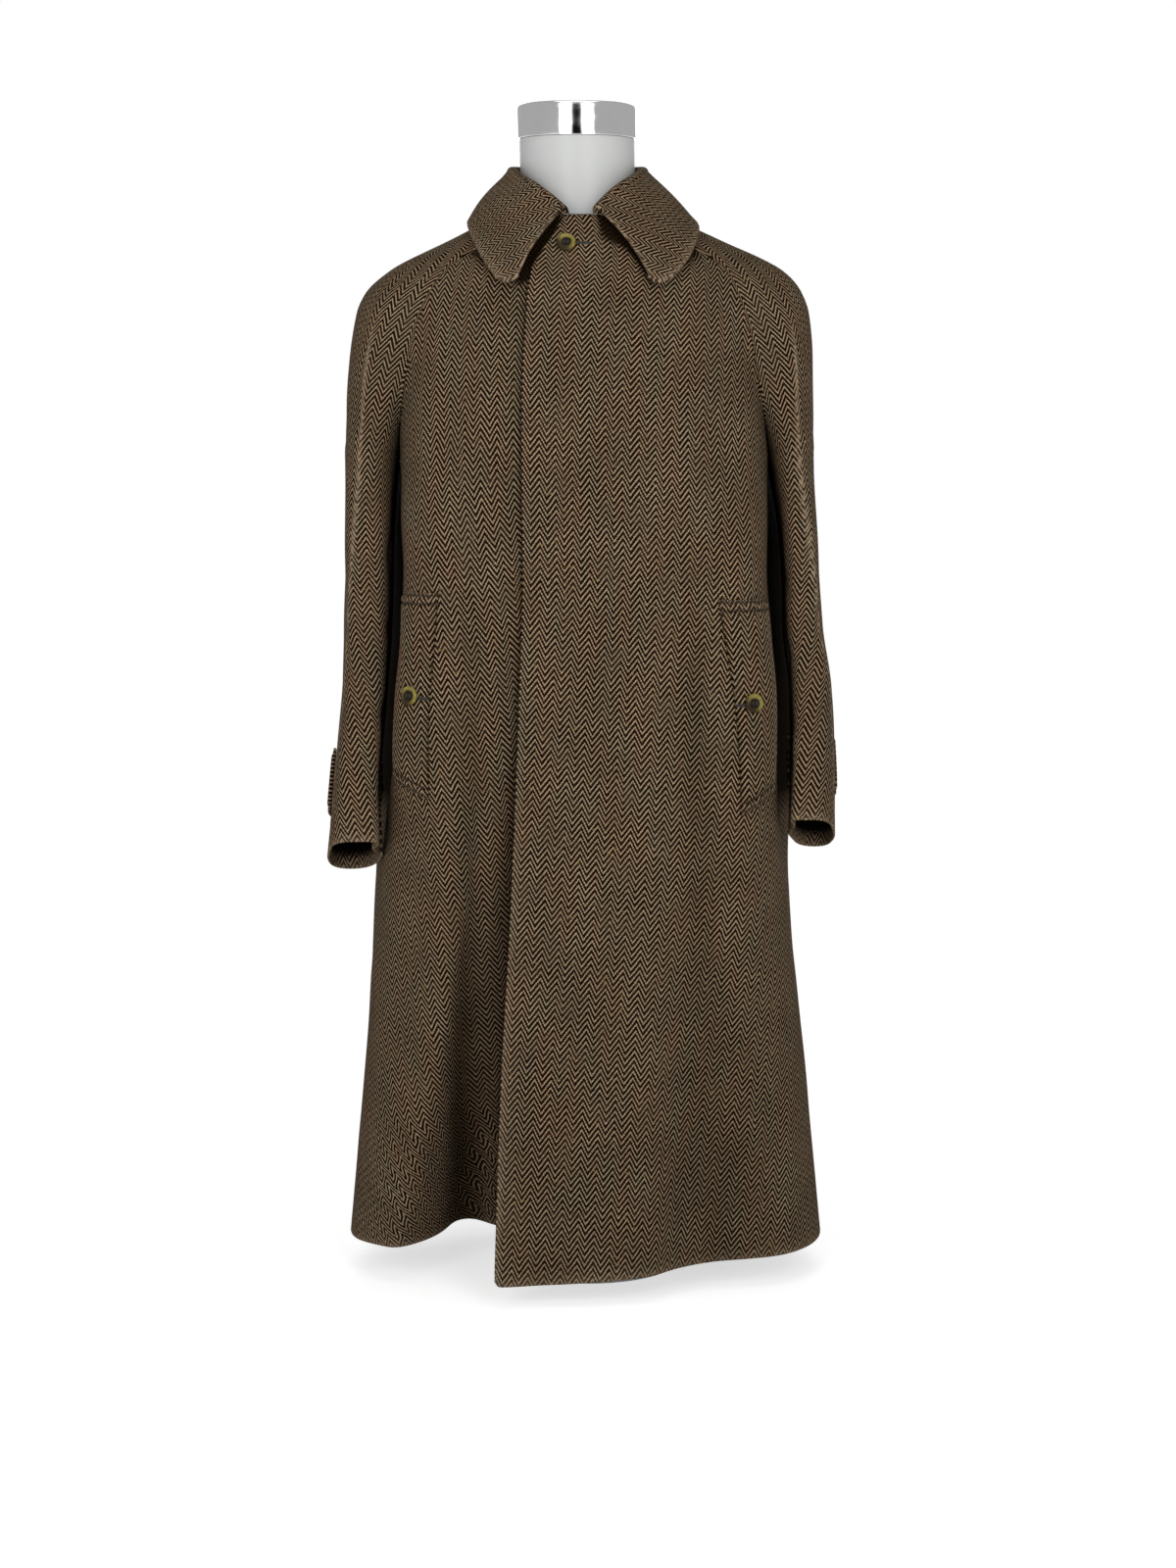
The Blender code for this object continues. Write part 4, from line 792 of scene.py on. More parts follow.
def make_piece(name, points, faces, material, weave=None, bake=None, values=None):
    """One object with smooth faces that point out; weave is by point, bake by corner."""
    points = lean_over(points)
    ends = np.array([(face[0], face[1], face[2], face[-1]) for face in faces])
    first, second, third, last = (points[ends[:, k]] for k in range(4))
    volume = np.sum(first * np.cross(second, third)) + np.sum(first * np.cross(third, last))
    if volume < 0.0:
        faces = [face[::-1] for face in faces]
        if bake is not None:
            bake = bake.reshape(-1, 4, 2)[:, ::-1].reshape(-1, 2)
    mesh = bpy.data.meshes.new(name)
    mesh.from_pydata(points.tolist(), [], faces)
    mesh.shade_smooth()
    mesh.materials.append(material)
    if weave is not None:
        layer = mesh.uv_layers.new(name="weave")
        layer.data.foreach_set("uv", np.asarray(weave, np.float32)[np.concatenate(faces)].ravel())
    if bake is not None:
        layer = mesh.uv_layers.new(name="OFBake")
        layer.data.foreach_set("uv", np.asarray(bake, np.float32).ravel())
    for key, value in (values or {}).items():
        layer = mesh.attributes.new(key, "FLOAT", "POINT")
        layer.data.foreach_set("value", np.asarray(value, np.float32))
    obj = bpy.data.objects.new(name, mesh)
    bpy.context.scene.collection.objects.link(obj)
    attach(obj, "root")
    return obj


def shell(node, outer, inner, weave, material, rounding, wear_and_highlight, painted_shade=None, lining=None):
    """Thin closed cloth for one node, between two grids; rounding is how far each edge bulges."""
    rows, columns = outer.shape[:2]
    count = rows * columns
    spots = np.arange(count).reshape(rows, columns)
    quads = np.stack((spots[:-1, :-1], spots[:-1, 1:], spots[1:, 1:], spots[1:, :-1]), axis=2)
    quads = quads.reshape(-1, 4)
    border = np.concatenate((spots[0], spots[1:, -1], spots[-1, -2::-1], spots[-2:0:-1, 0]))
    row, column = border // columns, border % columns
    inside = np.clip(row, 1, rows - 2) * columns + np.clip(column, 1, columns - 2)
    flat_outer, flat_inner = outer.reshape(count, 3), inner.reshape(count, 3)
    away = unit(flat_outer[border] - flat_outer[inside])
    bulge = np.zeros(len(border))
    top, bottom, start, end = rounding
    for amount, there in ((start, column == 0), (end, column == columns - 1),
                          (top, row == 0), (bottom, row == rows - 1)):
        bulge = np.where(there, amount, bulge)
    rim = 0.5 * (flat_outer[border] + flat_inner[border]) + away * bulge[:, None]
    k = np.arange(len(border))
    n = np.roll(k, -1)
    rim_outer = np.stack((border[n], border[k], 2 * count + k, 2 * count + n), axis=1)
    rim_inner = np.stack((2 * count + n, 2 * count + k, count + border[k], count + border[n]), axis=1)
    faces = np.concatenate((quads, count + quads[:, ::-1], rim_outer, rim_inner))
    place = np.stack((spots % columns / (columns - 1), 1.0 - spots // columns / (rows - 1)), axis=2)
    bake_outer, bake_inner = (np.array(corner) + place.reshape(-1, 2) * np.array(size)
                              for corner, size in (BAKE_OUTER, BAKE_INNER))
    low, high = k / len(k), (k + 1) / len(k)
    near, far = (np.full(len(k), u) for u in BAKE_RIM)
    strip = np.stack((near, high, near, low, far, low, far, high), axis=1).reshape(-1, 2)
    bake = np.concatenate((bake_outer[quads].reshape(-1, 2), bake_inner[quads[:, ::-1]].reshape(-1, 2),
                           strip, strip + np.array((BAKE_RIM_STEP, 0.0))))
    bare = np.zeros(count)
    flat_wear_and_highlight = wear_and_highlight.ravel()
    flat_painted_shade = bare if painted_shade is None else painted_shade.ravel()
    flat_lining = bare if lining is None else lining.ravel()
    flat_weave = weave.reshape(count, 2)
    values = {"wear_and_highlight": np.concatenate((flat_wear_and_highlight, flat_wear_and_highlight, flat_wear_and_highlight[border])),
              "painted_shade": np.concatenate((flat_painted_shade, bare, flat_painted_shade[border])),
              "lining": np.concatenate((bare, flat_lining, bare[border]))}
    points = np.concatenate((flat_outer, flat_inner, rim))
    full_weave = np.concatenate((flat_weave, flat_weave, flat_weave[border]))
    obj = make_piece(node + "_cloth", points, faces.tolist(), material, full_weave, bake, values)
    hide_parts(node)


def ring_faces(base, rings, sides, closed=False):
    """Quads between rings of points that follow each other from a base number on."""
    faces = []
    for i in range(rings if closed else rings - 1):
        here, there = base + i * sides, base + (i + 1) % rings * sides
        for j in range(sides):
            k = (j + 1) % sides
            faces.append((here + j, here + k, there + k, there + j))
    return faces


def cap_faces(middle, ring, sides, last=False):
    """Triangles from a middle point to the first or last ring."""
    faces = [(middle, ring + (j + 1) % sides, ring + j) for j in range(sides)]
    return [face[::-1] for face in faces] if last else faces


def turned(profile, sides):
    """Solid of revolution about Z from (radius, height) pairs that start and end on the axis."""
    angles = np.linspace(0.0, 2.0 * math.pi, sides, endpoint=False)
    points = [(radius * math.cos(angle), radius * math.sin(angle), height)
              for radius, height in profile[1:-1] for angle in angles]
    count = len(points)
    faces = ring_faces(0, len(profile) - 2, sides)
    faces += cap_faces(count, 0, sides) + cap_faces(count + 1, count - sides, sides, True)
    points += [(0.0, 0.0, profile[0][1]), (0.0, 0.0, profile[-1][1])]
    return np.array(points), faces


def tubes(name, paths, radius, material, closed=False, sides=THREAD_SIDES):
    """Round threads along lines of points, in one object."""
    points = []
    faces = []
    angles = np.linspace(0.0, 2.0 * math.pi, sides, endpoint=False)
    for path in paths:
        path = np.asarray(path, float)
        if closed:
            tangent = unit(np.roll(path, -1, axis=0) - np.roll(path, 1, axis=0))
        else:
            tangent = unit(np.gradient(path, axis=0))
        helper = (0.0, 1.0, 0.0) if abs(tangent[:, 1]).mean() < ALONG_Y else (1.0, 0.0, 0.0)
        side = unit(np.cross(tangent, helper))
        other = np.cross(tangent, side)
        base = len(points)
        points += [p + radius * (math.cos(angle) * s + math.sin(angle) * o)
                   for p, s, o in zip(path, side, other) for angle in angles]
        faces += ring_faces(base, len(path), sides, closed)
        if not closed:
            count = len(points)
            faces += cap_faces(count, base, sides) + cap_faces(count + 1, count - sides, sides, True)
            points += [path[0] - radius * tangent[0], path[-1] + radius * tangent[-1]]
    return make_piece(name, points, faces, material)


# Materials
class Graph:
    """Short ways to add and join the shader nodes of one material."""

    def __init__(self, name):
        self.material = bpy.data.materials.new(name)
        self.material.use_nodes = True
        self.nodes = self.material.node_tree.nodes
        self.links = self.material.node_tree.links
        self.shader = self.nodes["Principled BSDF"]

    def put(self, socket, value):
        if isinstance(value, bpy.types.NodeSocket):
            self.links.new(value, socket)
        else:
            socket.default_value = value

    def node(self, kind, **inputs):
        item = self.nodes.new(kind)
        for name, value in inputs.items():
            self.put(item.inputs[name], value)
        return item

    def set(self, **inputs):
        for name, value in inputs.items():
            self.put(self.shader.inputs[name.replace("_", " ")], value)

    def math(self, operation, *values):
        item = self.nodes.new("ShaderNodeMath")
        item.operation = operation
        for socket, value in zip(item.inputs, values):
            self.put(socket, value)
        return item.outputs[0]

    def noise(self, place, scale, detail=2.0):
        return self.node("ShaderNodeTexNoise", Vector=place, Scale=scale, Detail=detail).outputs["Fac"]

    def shifted(self, place, offset):
        item = self.nodes.new("ShaderNodeVectorMath")
        item.operation = "ADD"
        self.put(item.inputs[0], place)
        self.put(item.inputs[1], offset)
        return item.outputs[0]

    def step(self, value, low, high, start=0.0, end=1.0):
        item = self.nodes.new("ShaderNodeMapRange")
        item.interpolation_type = "SMOOTHSTEP"
        for socket, number in zip(item.inputs, (value, low, high, start, end)):
            self.put(socket, number)
        return item.outputs[0]

    def mix(self, share, first, second, blend="MIX"):
        item = self.nodes.new("ShaderNodeMix")
        item.data_type = "RGBA"
        item.blend_type = blend
        self.put(item.inputs[0], share)
        for socket, colour in ((item.inputs[6], first), (item.inputs[7], second)):
            self.put(socket, (*colour, 1.0) if isinstance(colour, tuple) else colour)
        return item.outputs[2]

    def attribute(self, name):
        item = self.nodes.new("ShaderNodeAttribute")
        item.attribute_name = name
        return item.outputs["Fac"]

    def uv(self, name):
        item = self.nodes.new("ShaderNodeUVMap")
        item.uv_map = name
        return item.outputs["UV"]

    def own_place(self):
        return self.nodes.new("ShaderNodeTexCoord").outputs["Object"]

    def bump(self, height, strength, distance):
        item = self.node("ShaderNodeBump", Height=height, Strength=strength, Distance=distance)
        self.set(Normal=item.outputs[0])


DARK_YARN = (0.008, 0.004, 0.0012)
RED_DARK_YARN = (0.01, 0.0044, 0.0014)
LIGHT_YARN = (0.39, 0.285, 0.187)
WARM_YARN = (0.398, 0.276, 0.175)
COOL_YARN = (0.374, 0.29, 0.19)
HAZE = (0.074, 0.048, 0.027)
# Near-black lining inside the coat: partly the lining's own dark colour and partly painted shade inside
# the sleeves and hem
LINING = (0.004, 0.003, 0.0024)
RUST_FLECK = (0.12, 0.046, 0.018)
OCHRE_FLECK = (0.2, 0.14, 0.04)
HORN_OLIVE = ((0.12, 0.092, 0.016), (0.33, 0.275, 0.066))
HORN_BROWN = ((0.006, 0.0034, 0.0016), (0.022, 0.013, 0.006))
# Painted shadow on the lower side of a button's rim
HORN_SHADOW = (0.03, 0.018, 0.006)
BROWN_THREAD = ((0.012, 0.007, 0.003), (0.042, 0.027, 0.014))
SLIT_SHADOW = ((0.004, 0.003, 0.002), (0.01, 0.007, 0.004))
FORM_WHITE = ((0.505, 0.515, 0.507), (0.562, 0.567, 0.557))
CHROME = ((0.9, 0.9, 0.885), (0.96, 0.96, 0.945))
FLOOR_PALE = ((0.8, 0.8, 0.8), (0.84, 0.84, 0.84))
CARD_BLACK = (0.004, 0.004, 0.006, 1.0)


def tweed_material():
    g = Graph("herringbone_tweed")
    place = g.uv("weave")
    split = g.node("ShaderNodeSeparateXYZ", Vector=place)
    # Threads wander a little
    wander_u = g.math("MULTIPLY_ADD", g.noise(place, 60.0), 0.0014, split.outputs["X"])
    drift = g.noise(g.shifted(place, (3.7, 1.3, 0.0)), 70.0)
    wander_v = g.math("MULTIPLY_ADD", drift, 0.0016, split.outputs["Y"])
    # Zigzag lines with ragged edges, cut by the grooves between yarns
    fold = g.math("PINGPONG", wander_u, COLUMN_WIDTH)
    stepped = g.math("SNAP", fold, YARN)
    fold = g.math("ADD", g.math("MULTIPLY", stepped, 0.5), g.math("MULTIPLY", fold, 0.5))
    skew = g.math("MULTIPLY", g.math("FLOORED_MODULO", wander_u, COLUMN_WIDTH), COLUMN_SKEW)
    rise = g.math("MULTIPLY_ADD", fold, LINE_RISE, g.math("ADD", wander_v, skew))
    wave = g.math("PINGPONG", g.math("DIVIDE", rise, LINE_PITCH), 0.5)
    fuzz = g.noise(place, 760.0, 3.0)
    coarse = g.noise(g.shifted(place, (7.1, 2.9, 0.0)), 260.0, 2.0)
    loose = g.math("MULTIPLY_ADD", g.math("SUBTRACT", fuzz, 0.5), 0.22, wave)
    loose = g.math("MULTIPLY_ADD", g.math("SUBTRACT", coarse, 0.5), 0.14, loose)
    line = g.step(loose, 0.295, 0.365)
    yarn = g.math("MULTIPLY", g.math("PINGPONG", g.math("DIVIDE", wander_u, YARN), 0.5), 2.0)
    groove = g.step(yarn, 0.0, 0.45, 0.72, 1.0)
    line = g.math("MULTIPLY", line, groove)
    # Uneven dye along the yarns
    long_way = g.math("MULTIPLY", split.outputs["Y"], 0.22)
    streaks = g.node("ShaderNodeCombineXYZ", X=split.outputs["X"], Y=long_way)
    streak = g.noise(g.shifted(streaks.outputs[0], (9.4, 0.7, 0.0)), 46.0, 2.0)
    hue = g.step(streak, 0.38, 0.62)
    bead = g.step(g.noise(g.shifted(place, (6.3, 3.1, 0.0)), 520.0), 0.3, 0.7, 0.6, 1.15)
    colour = g.mix(g.math("MULTIPLY", line, bead), g.mix(hue, RED_DARK_YARN, DARK_YARN),
                   g.mix(hue, WARM_YARN, COOL_YARN))
    # Haze of loose hair, single hairs, slow changes of tone and coloured flecks
    haze = g.step(g.noise(g.shifted(place, (2.2, 6.6, 0.0)), 36.0, 3.0), 0.46, 0.74, 0.0, 0.26)
    colour = g.mix(haze, colour, HAZE)
    hair = g.step(g.noise(g.shifted(place, (1.9, 5.3, 0.0)), 1500.0, 2.0), 0.3, 0.72, 0.66, 1.34)
    tone = g.step(g.noise(g.shifted(place, (4.2, 8.8, 0.0)), 16.0, 3.0), 0.25, 0.75, 0.9, 1.1)
    cells = g.node("ShaderNodeTexVoronoi", Vector=place, Scale=210.0)
    drawn = g.node("ShaderNodeSeparateColor", Color=cells.outputs["Color"])
    chosen = g.step(drawn.outputs[0], 0.8, 0.86)
    spot = g.step(cells.outputs["Distance"], 0.34, 0.16)
    fleck = g.math("MULTIPLY", g.math("MULTIPLY", chosen, spot), 0.55)
    fleck_colour = g.mix(g.step(drawn.outputs[1], 0.45, 0.55), RUST_FLECK, OCHRE_FLECK)
    colour = g.mix(fleck, colour, fleck_colour)
    strength = g.math("MULTIPLY", hair, tone)
    grey = g.node("ShaderNodeCombineColor", Red=strength, Green=strength, Blue=strength)
    colour = g.mix(1.0, colour, grey.outputs[0], "MULTIPLY")
    # Worn edges with a painted highlight on the sleeve ridges, painted shade, and the near-black lining,
    # which is partly painted shade
    wear_and_highlight = g.math("MULTIPLY", g.attribute("wear_and_highlight"), g.step(coarse, 0.3, 0.7, 0.08, 0.34))
    colour = g.mix(wear_and_highlight, colour, LIGHT_YARN)
    # Painted shade: darker in troughs, seams, stitch grooves, the gaps beside the sleeves, beside the lap
    # and under the collar
    colour = g.mix(g.attribute("painted_shade"), colour, DARK_YARN)
    colour = g.mix(g.attribute("lining"), colour, LINING)
    height = g.math("MULTIPLY_ADD", fuzz, 0.7, g.math("MULTIPLY_ADD", yarn, 0.15, line))
    g.bump(height, 0.55, 0.0007)
    g.set(Base_Color=colour, Roughness=g.step(fuzz, 0.2, 0.8, 0.84, 0.97))
    g.set(Specular_IOR_Level=0.01)
    return g.material


def horn_material():
    g = Graph("polished_horn")
    place = g.own_place()
    out = g.attribute("out")
    streak = g.noise(place, 260.0, 3.0)
    reach = g.math("MULTIPLY_ADD", g.math("SUBTRACT", g.noise(place, 90.0), 0.5), 0.35, out)
    olive = g.mix(streak, *HORN_OLIVE)
    brown = g.mix(streak, *HORN_BROWN)
    # Painted light and shadow: the rim is olive on its lit side and dark on the other
    rim = g.mix(g.step(g.attribute("painted_light"), 0.15, 0.7), HORN_SHADOW, olive)
    colour = g.mix(g.step(reach, 0.5, 0.66), brown, rim)
    g.set(Base_Color=colour, Roughness=g.step(streak, 0.3, 0.7, 0.32, 0.46), Specular_IOR_Level=0.16)
    g.bump(streak, 0.08, 0.0003)
    return g.material


def thread_material(name, colours):
    g = Graph(name)
    place = g.own_place()
    twist = g.noise(place, 2600.0, 2.0)
    g.set(Base_Color=g.mix(twist, *colours), Roughness=g.step(twist, 0.2, 0.8, 0.7, 0.9))
    g.set(Sheen_Weight=0.2)
    g.bump(twist, 0.5, 0.0002)
    return g.material


def plastic_material():
    g = Graph("white_form_gloss")
    place = g.own_place()
    cloud = g.noise(place, 7.0, 2.0)
    grain = g.noise(place, 420.0, 2.0)
    g.set(Base_Color=g.mix(cloud, *FORM_WHITE))
    g.set(Roughness=g.step(cloud, 0.3, 0.7, 0.42, 0.52), Coat_Weight=0.08, Coat_Roughness=0.15)
    g.set(Specular_IOR_Level=0.25)
    g.bump(grain, 0.03, 0.0003)
    return g.material


def chrome_material():
    g = Graph("neck_cap_chrome")
    place = g.own_place()
    haze = g.noise(place, 60.0, 3.0)
    g.set(Base_Color=g.mix(haze, *CHROME), Metallic=1.0)
    g.set(Roughness=g.step(haze, 0.3, 0.7, 0.06, 0.13))
    return g.material


def floor_material():
    """Pale floor that brightens away from the form into the white surroundings."""
    g = Graph("pale_floor")
    place = g.own_place()
    away = g.nodes.new("ShaderNodeVectorMath")
    away.operation = "LENGTH"
    g.put(away.inputs[0], place)
    far = g.step(away.outputs["Value"], FLOOR_NEAR, FLOOR_FAR)
    near_colour = g.mix(g.noise(place, 3.0), *FLOOR_PALE)
    g.set(Base_Color=g.mix(far, near_colour, (0.0, 0.0, 0.0)), Roughness=0.9, Specular_IOR_Level=0.0)
    seen = g.nodes.new("ShaderNodeLightPath").outputs["Is Camera Ray"]
    glow = g.math("MULTIPLY_ADD", seen, FLOOR_GLOW_SEEN - FLOOR_GLOW, FLOOR_GLOW)
    g.set(Emission_Color=(1.0, 1.0, 1.0, 1.0), Emission_Strength=g.step(far, 0.0, 1.0, glow, 1.0))
    return g.material


# Garment
def edge_wear(distance):
    return np.exp(-distance / WORN_REACH)


def lined(distance, facing):
    """Where the inside is lined: beyond a facing of tweed along an edge."""
    return smooth((distance - facing) / LINING_BLEND)


def weave_map(across, up, shift):
    return np.stack((across + shift, up), axis=2)


def front_weave(side, panel):
    """Weave places of a front, whose columns run along the grain."""
    shifts = []
    for z in panel.height[:, 0]:
        if side == "left":
            edge = OVER.at(z).edge
            grain = min(OVER.at(min(z, OVER_GRAIN_Z)).edge, OVER_GRAIN_X)
        else:
            edge = UNDER.at(z).edge
            grain = -UNDER_GRAIN_LEAN * max(UNDER_GRAIN_Z - z, 0.0)
        shifts.append(edge - grain)
    return weave_map(panel.across, panel.up + SAG * panel.across, np.array(shifts)[:, None])


def gap_shade(panel, facing, turn):
    """Dark of the parts of a panel that are turned to the gap between body and sleeve."""
    (low, high), (rise, fall) = GAP_Z, GAP_FADE
    band = np.clip((panel.height - low) / rise, 0.0, 1.0)
    band = band * np.clip((high - panel.height) / fall, 0.0, 1.0)
    start, run = turn
    return GAP_SHADE * band * smooth((start - facing * panel.normals[:, :, 1]) / run)


def lap_shade(panel):
    """Dark of the under front beside the over front's edge."""
    edges = np.array([OVER.at(z).edge for z in panel.height[:, 0]])[:, None]
    away = np.maximum(edges - panel.flat[:, :, 0], 0.0)
    low = (LAP_LOW_Z[1] - panel.height) / (LAP_LOW_Z[1] - LAP_LOW_Z[0])
    wide, narrow = (share * np.exp(-away / reach) for share, reach in LAP_SHADES)
    return wide * smooth(low) + narrow


def collar_shade(panel, panel_side):
    """Dark of a front under the collar's two front edges and a little beyond them."""
    row = COLLAR.at(1.0)
    start = np.array((row.roll_x, row.roll_z))
    edge = np.array((row.edge_x, row.edge_z)) - start
    length = float(np.linalg.norm(edge))
    way = edge / length
    shade = np.zeros(panel.across.shape)
    for side in WAY:
        place = np.stack((WAY[side] * panel.flat[:, :, 0], panel.flat[:, :, 2]), axis=2) - start
        t = place @ way / length
        beyond = place[:, :, 0] * way[1] - place[:, :, 1] * way[0]
        reach = np.full(t.shape, COLLAR_SHADE_REACH)
        if side == panel_side:
            middle, peak = COLLAR_SHADE_PEAK[side]
            reach += peak * bell(t - middle, COLLAR_SHADE_SPREAD)
        part = 1.0 - smooth((beyond - 0.5 * reach) / (0.5 * reach))
        past = smooth((t - COLLAR_SHADE_END) / COLLAR_SHADE_END_RUN)
        shade = np.maximum(shade, part * (1.0 - past))
    return COLLAR_SHADE * shade


def make_front(side, tweed):
    panel = lay_out(side + " front", functools.partial(body_row, side, -1), FRONT_LEVELS,
                    functools.partial(front_shares, side), -WAY[side], ("end",))
    shades = [panel.painted_shade, collar_shade(panel, side), gap_shade(panel, -1, FRONT_TURN)]
    if side == "right":
        shades.append(lap_shade(panel))
    else:
        lack = np.clip(CORNER_RADIUS - panel.across, 0.0, CORNER_RADIUS)
        lift = CORNER_RADIUS - np.sqrt(CORNER_RADIUS ** 2 - lack ** 2)
        panel.points[:, :, 2] += lift * np.exp(-panel.from_hem / CORNER_RADIUS)
    wall = WALL + FREE_EDGE_WALL * bell(panel.across, FREE_EDGE_REACH)
    inner = raised(panel.points, -wall, panel.normals)
    edge_share = np.clip(1.0 - panel.height / EDGE_WEAR_TOP_Z, *EDGE_WEAR_SHARES)
    wear_and_highlight = np.maximum(edge_wear(panel.across) * edge_share, edge_wear(panel.from_hem))
    lining = lined(np.minimum(panel.across, panel.from_hem), HEM_FACING)
    shell("front_" + side, panel.points, inner, front_weave(side, panel), tweed, ROUNDING["front"],
          wear_and_highlight, functools.reduce(np.maximum, shades), lining)
    return panel


def make_back(side, tweed):
    panel = lay_out(side + " back", functools.partial(body_row, side, 1), BACK_LEVELS,
                    lambda z: BACK_SHARES, WAY[side], ("start", "end"))
    inner = panel.points - WALL * panel.normals
    painted_shade = np.maximum(panel.painted_shade, gap_shade(panel, 1, BACK_TURN))
    weave = weave_map(panel.across, panel.up, WEAVE_START["back"])
    shell("back_" + side, panel.points, inner, weave, tweed, ROUNDING["back"],
          edge_wear(panel.from_hem), painted_shade, lined(panel.from_hem, HEM_FACING))


def grain_shift(outer, levels):
    """How far the sleeve's weave slips along the outer line from level to level."""
    follow = np.array([SLEEVE_GRAIN.at(z).follow for z in levels])
    steps = -np.diff(outer) * 0.5 * (follow[1:] + follow[:-1])
    return running(steps) - SLEEVE_GRAIN_LEAN * np.maximum(SLEEVE_GRAIN_Z - levels, 0.0)


def arm_ridge(side, panel, outer, levels):
    """Height, from 0 to 1, of the sewn ridge along the front of a sleeve."""
    first = panel.points.shape[1] // 4
    inset = [ARM_RIDGE.at(z).inset for z in levels]
    lines = [np.interp(edge - away, WAY[side] * row[first:, 0], run[first:])
             for edge, away, row, run in zip(outer, inset, panel.flat, panel.across)]
    fade = smooth((ARM_RIDGE_TOP - panel.height) / ARM_RIDGE_FADE)
    return fade * bell(panel.across - np.array(lines)[:, None], ARM_RIDGE_WIDTH)


def make_sleeve(side, facing, tweed):
    label = "front" if facing < 0 else "back"
    arm = close_ends(UNDERARM_Z, CUFF_Z[side], ARM_LEVELS, CUFF_CLOSE)
    levels = np.concatenate((YOKE_LEVELS, arm[1:]))
    panel = lay_out(f"{side} sleeve {label}", functools.partial(sleeve_row, side, facing), levels,
                    lambda z: SLEEVE_SHARES, WAY[side] * facing, ("start",))
    outer = np.array([getattr(SLEEVE.at(z), "out_" + side) for z in levels])
    wear_and_highlight = edge_wear(panel.from_hem)
    if facing < 0:
        ridge = arm_ridge(side, panel, outer, levels)
        panel.points = raised(panel.points, ARM_RIDGE_HEIGHT * ridge, panel.normals)
        panel.normals = grid_normals(panel.points, WAY[side] * facing)
        # Painted highlight along the sewn ridge, carried with the edge wear
        wear_and_highlight = np.maximum(wear_and_highlight, ARM_RIDGE_HIGHLIGHT * ridge)
    inward = -WAY[side] * panel.normals[:, :, 0] > 0.0
    painted_shade = np.maximum(panel.painted_shade, inward * gap_shade(panel, facing, SLEEVE_TURN))
    weave = weave_map(panel.across[:, -1:] - panel.across, panel.up,
                      grain_shift(outer, levels)[:, None] + WEAVE_START["sleeve"])
    inner = panel.points - WALL * panel.normals
    shell(f"sleeve_{side}_{label}", panel.points, inner, weave, tweed, ROUNDING["sleeve"], wear_and_highlight, painted_shade,
          lined(panel.from_hem, CUFF_FACING))


def stitch_run(points, normals, lift):
    """Short threads along a line of points."""
    run = path_length(points)
    arch = lift * np.array(STITCH_ARCH)
    paths = []
    place = STITCH_GAP
    while place + STITCH_LENGTH < run[-1]:
        spots = np.linspace(place, place + STITCH_LENGTH, len(arch))
        paths.append(along(points, spots) + arch[:, None] * along(normals, spots))
        place += STITCH_LENGTH + STITCH_GAP
    return paths


def read_columns(panel, values, heights):
    """Values of the front's grid at these heights of the welt's columns."""
    levels = panel.height[::-1, 0]
    columns = values[::-1, WELT_FIRST:WELT_FIRST + WELT_SPANS + 1]
    return np.stack([np.interp(heights[:, j], levels, columns[:, j]) for j in range(WELT_SPANS + 1)],
                    axis=1)


def make_welt(side, panel, tweed, thread):
    top = WELT_TOP_Z[side]
    bottom = np.linspace(WELT_SEWN_BOTTOM_Z[side], WELT_FREE_BOTTOM_Z[side], WELT_SPANS + 1)
    z = top - WELT_ROWS[:, None] * (top - bottom)
    points = np.stack([read_columns(panel, panel.points[:, :, k], z) for k in range(3)], axis=2)
    normals = unit(np.stack([read_columns(panel, panel.normals[:, :, k], z) for k in range(3)], axis=2))
    across, up = read_columns(panel, panel.across, z), read_columns(panel, panel.up, z)
    from_sewn = across - across[:, :1]
    from_free = across[:, -1:] - across
    from_top, from_bottom = top - z, z - bottom
    from_end = np.minimum(from_top, from_bottom)
    thin = bell(from_end, WELT_EDGE_REACH) + bell(from_sewn, WELT_EDGE_REACH)
    wall = WELT_WALL * (1.0 - WELT_EDGE_THIN * np.clip(thin, 0.0, 1.0))
    # Painted shade beside the sewn edge and in the stitch grooves
    painted_shade = WELT_SEWN_SHADE * bell(from_sewn, STITCH_DIP_WIDTH)
    for inset in STITCH_INSETS:
        groove = bell(from_end - inset, STITCH_DIP_WIDTH)
        wall = wall - STITCH_DIP * groove
        painted_shade = np.maximum(painted_shade, STITCH_SHADE * groove)
    outer = raised(points, SEAM + wall, normals)
    inner = points + SEAM * normals
    weave = weave_map(across, up, WEAVE_START["welt"] - WAY[side] * WELT_GRAIN_LEAN[side] * from_top)
    wear_and_highlight = np.maximum(edge_wear(from_free), WELT_END_WEAR * edge_wear(from_end))
    shell("pocket_welt_" + side, outer, inner, weave, tweed, ROUNDING["welt"], wear_and_highlight, painted_shade)
    paths = []
    for inset in STITCH_INSETS:
        for away in (from_top, from_bottom):
            i = int(np.argmin(np.abs(away[:, 0] - inset)))
            paths += stitch_run(outer[i], normals[i], STITCH_RADIUS)
    stitches = tubes(f"pocket_stitches_{side}", paths, STITCH_RADIUS, thread)
    return outer, normals, z


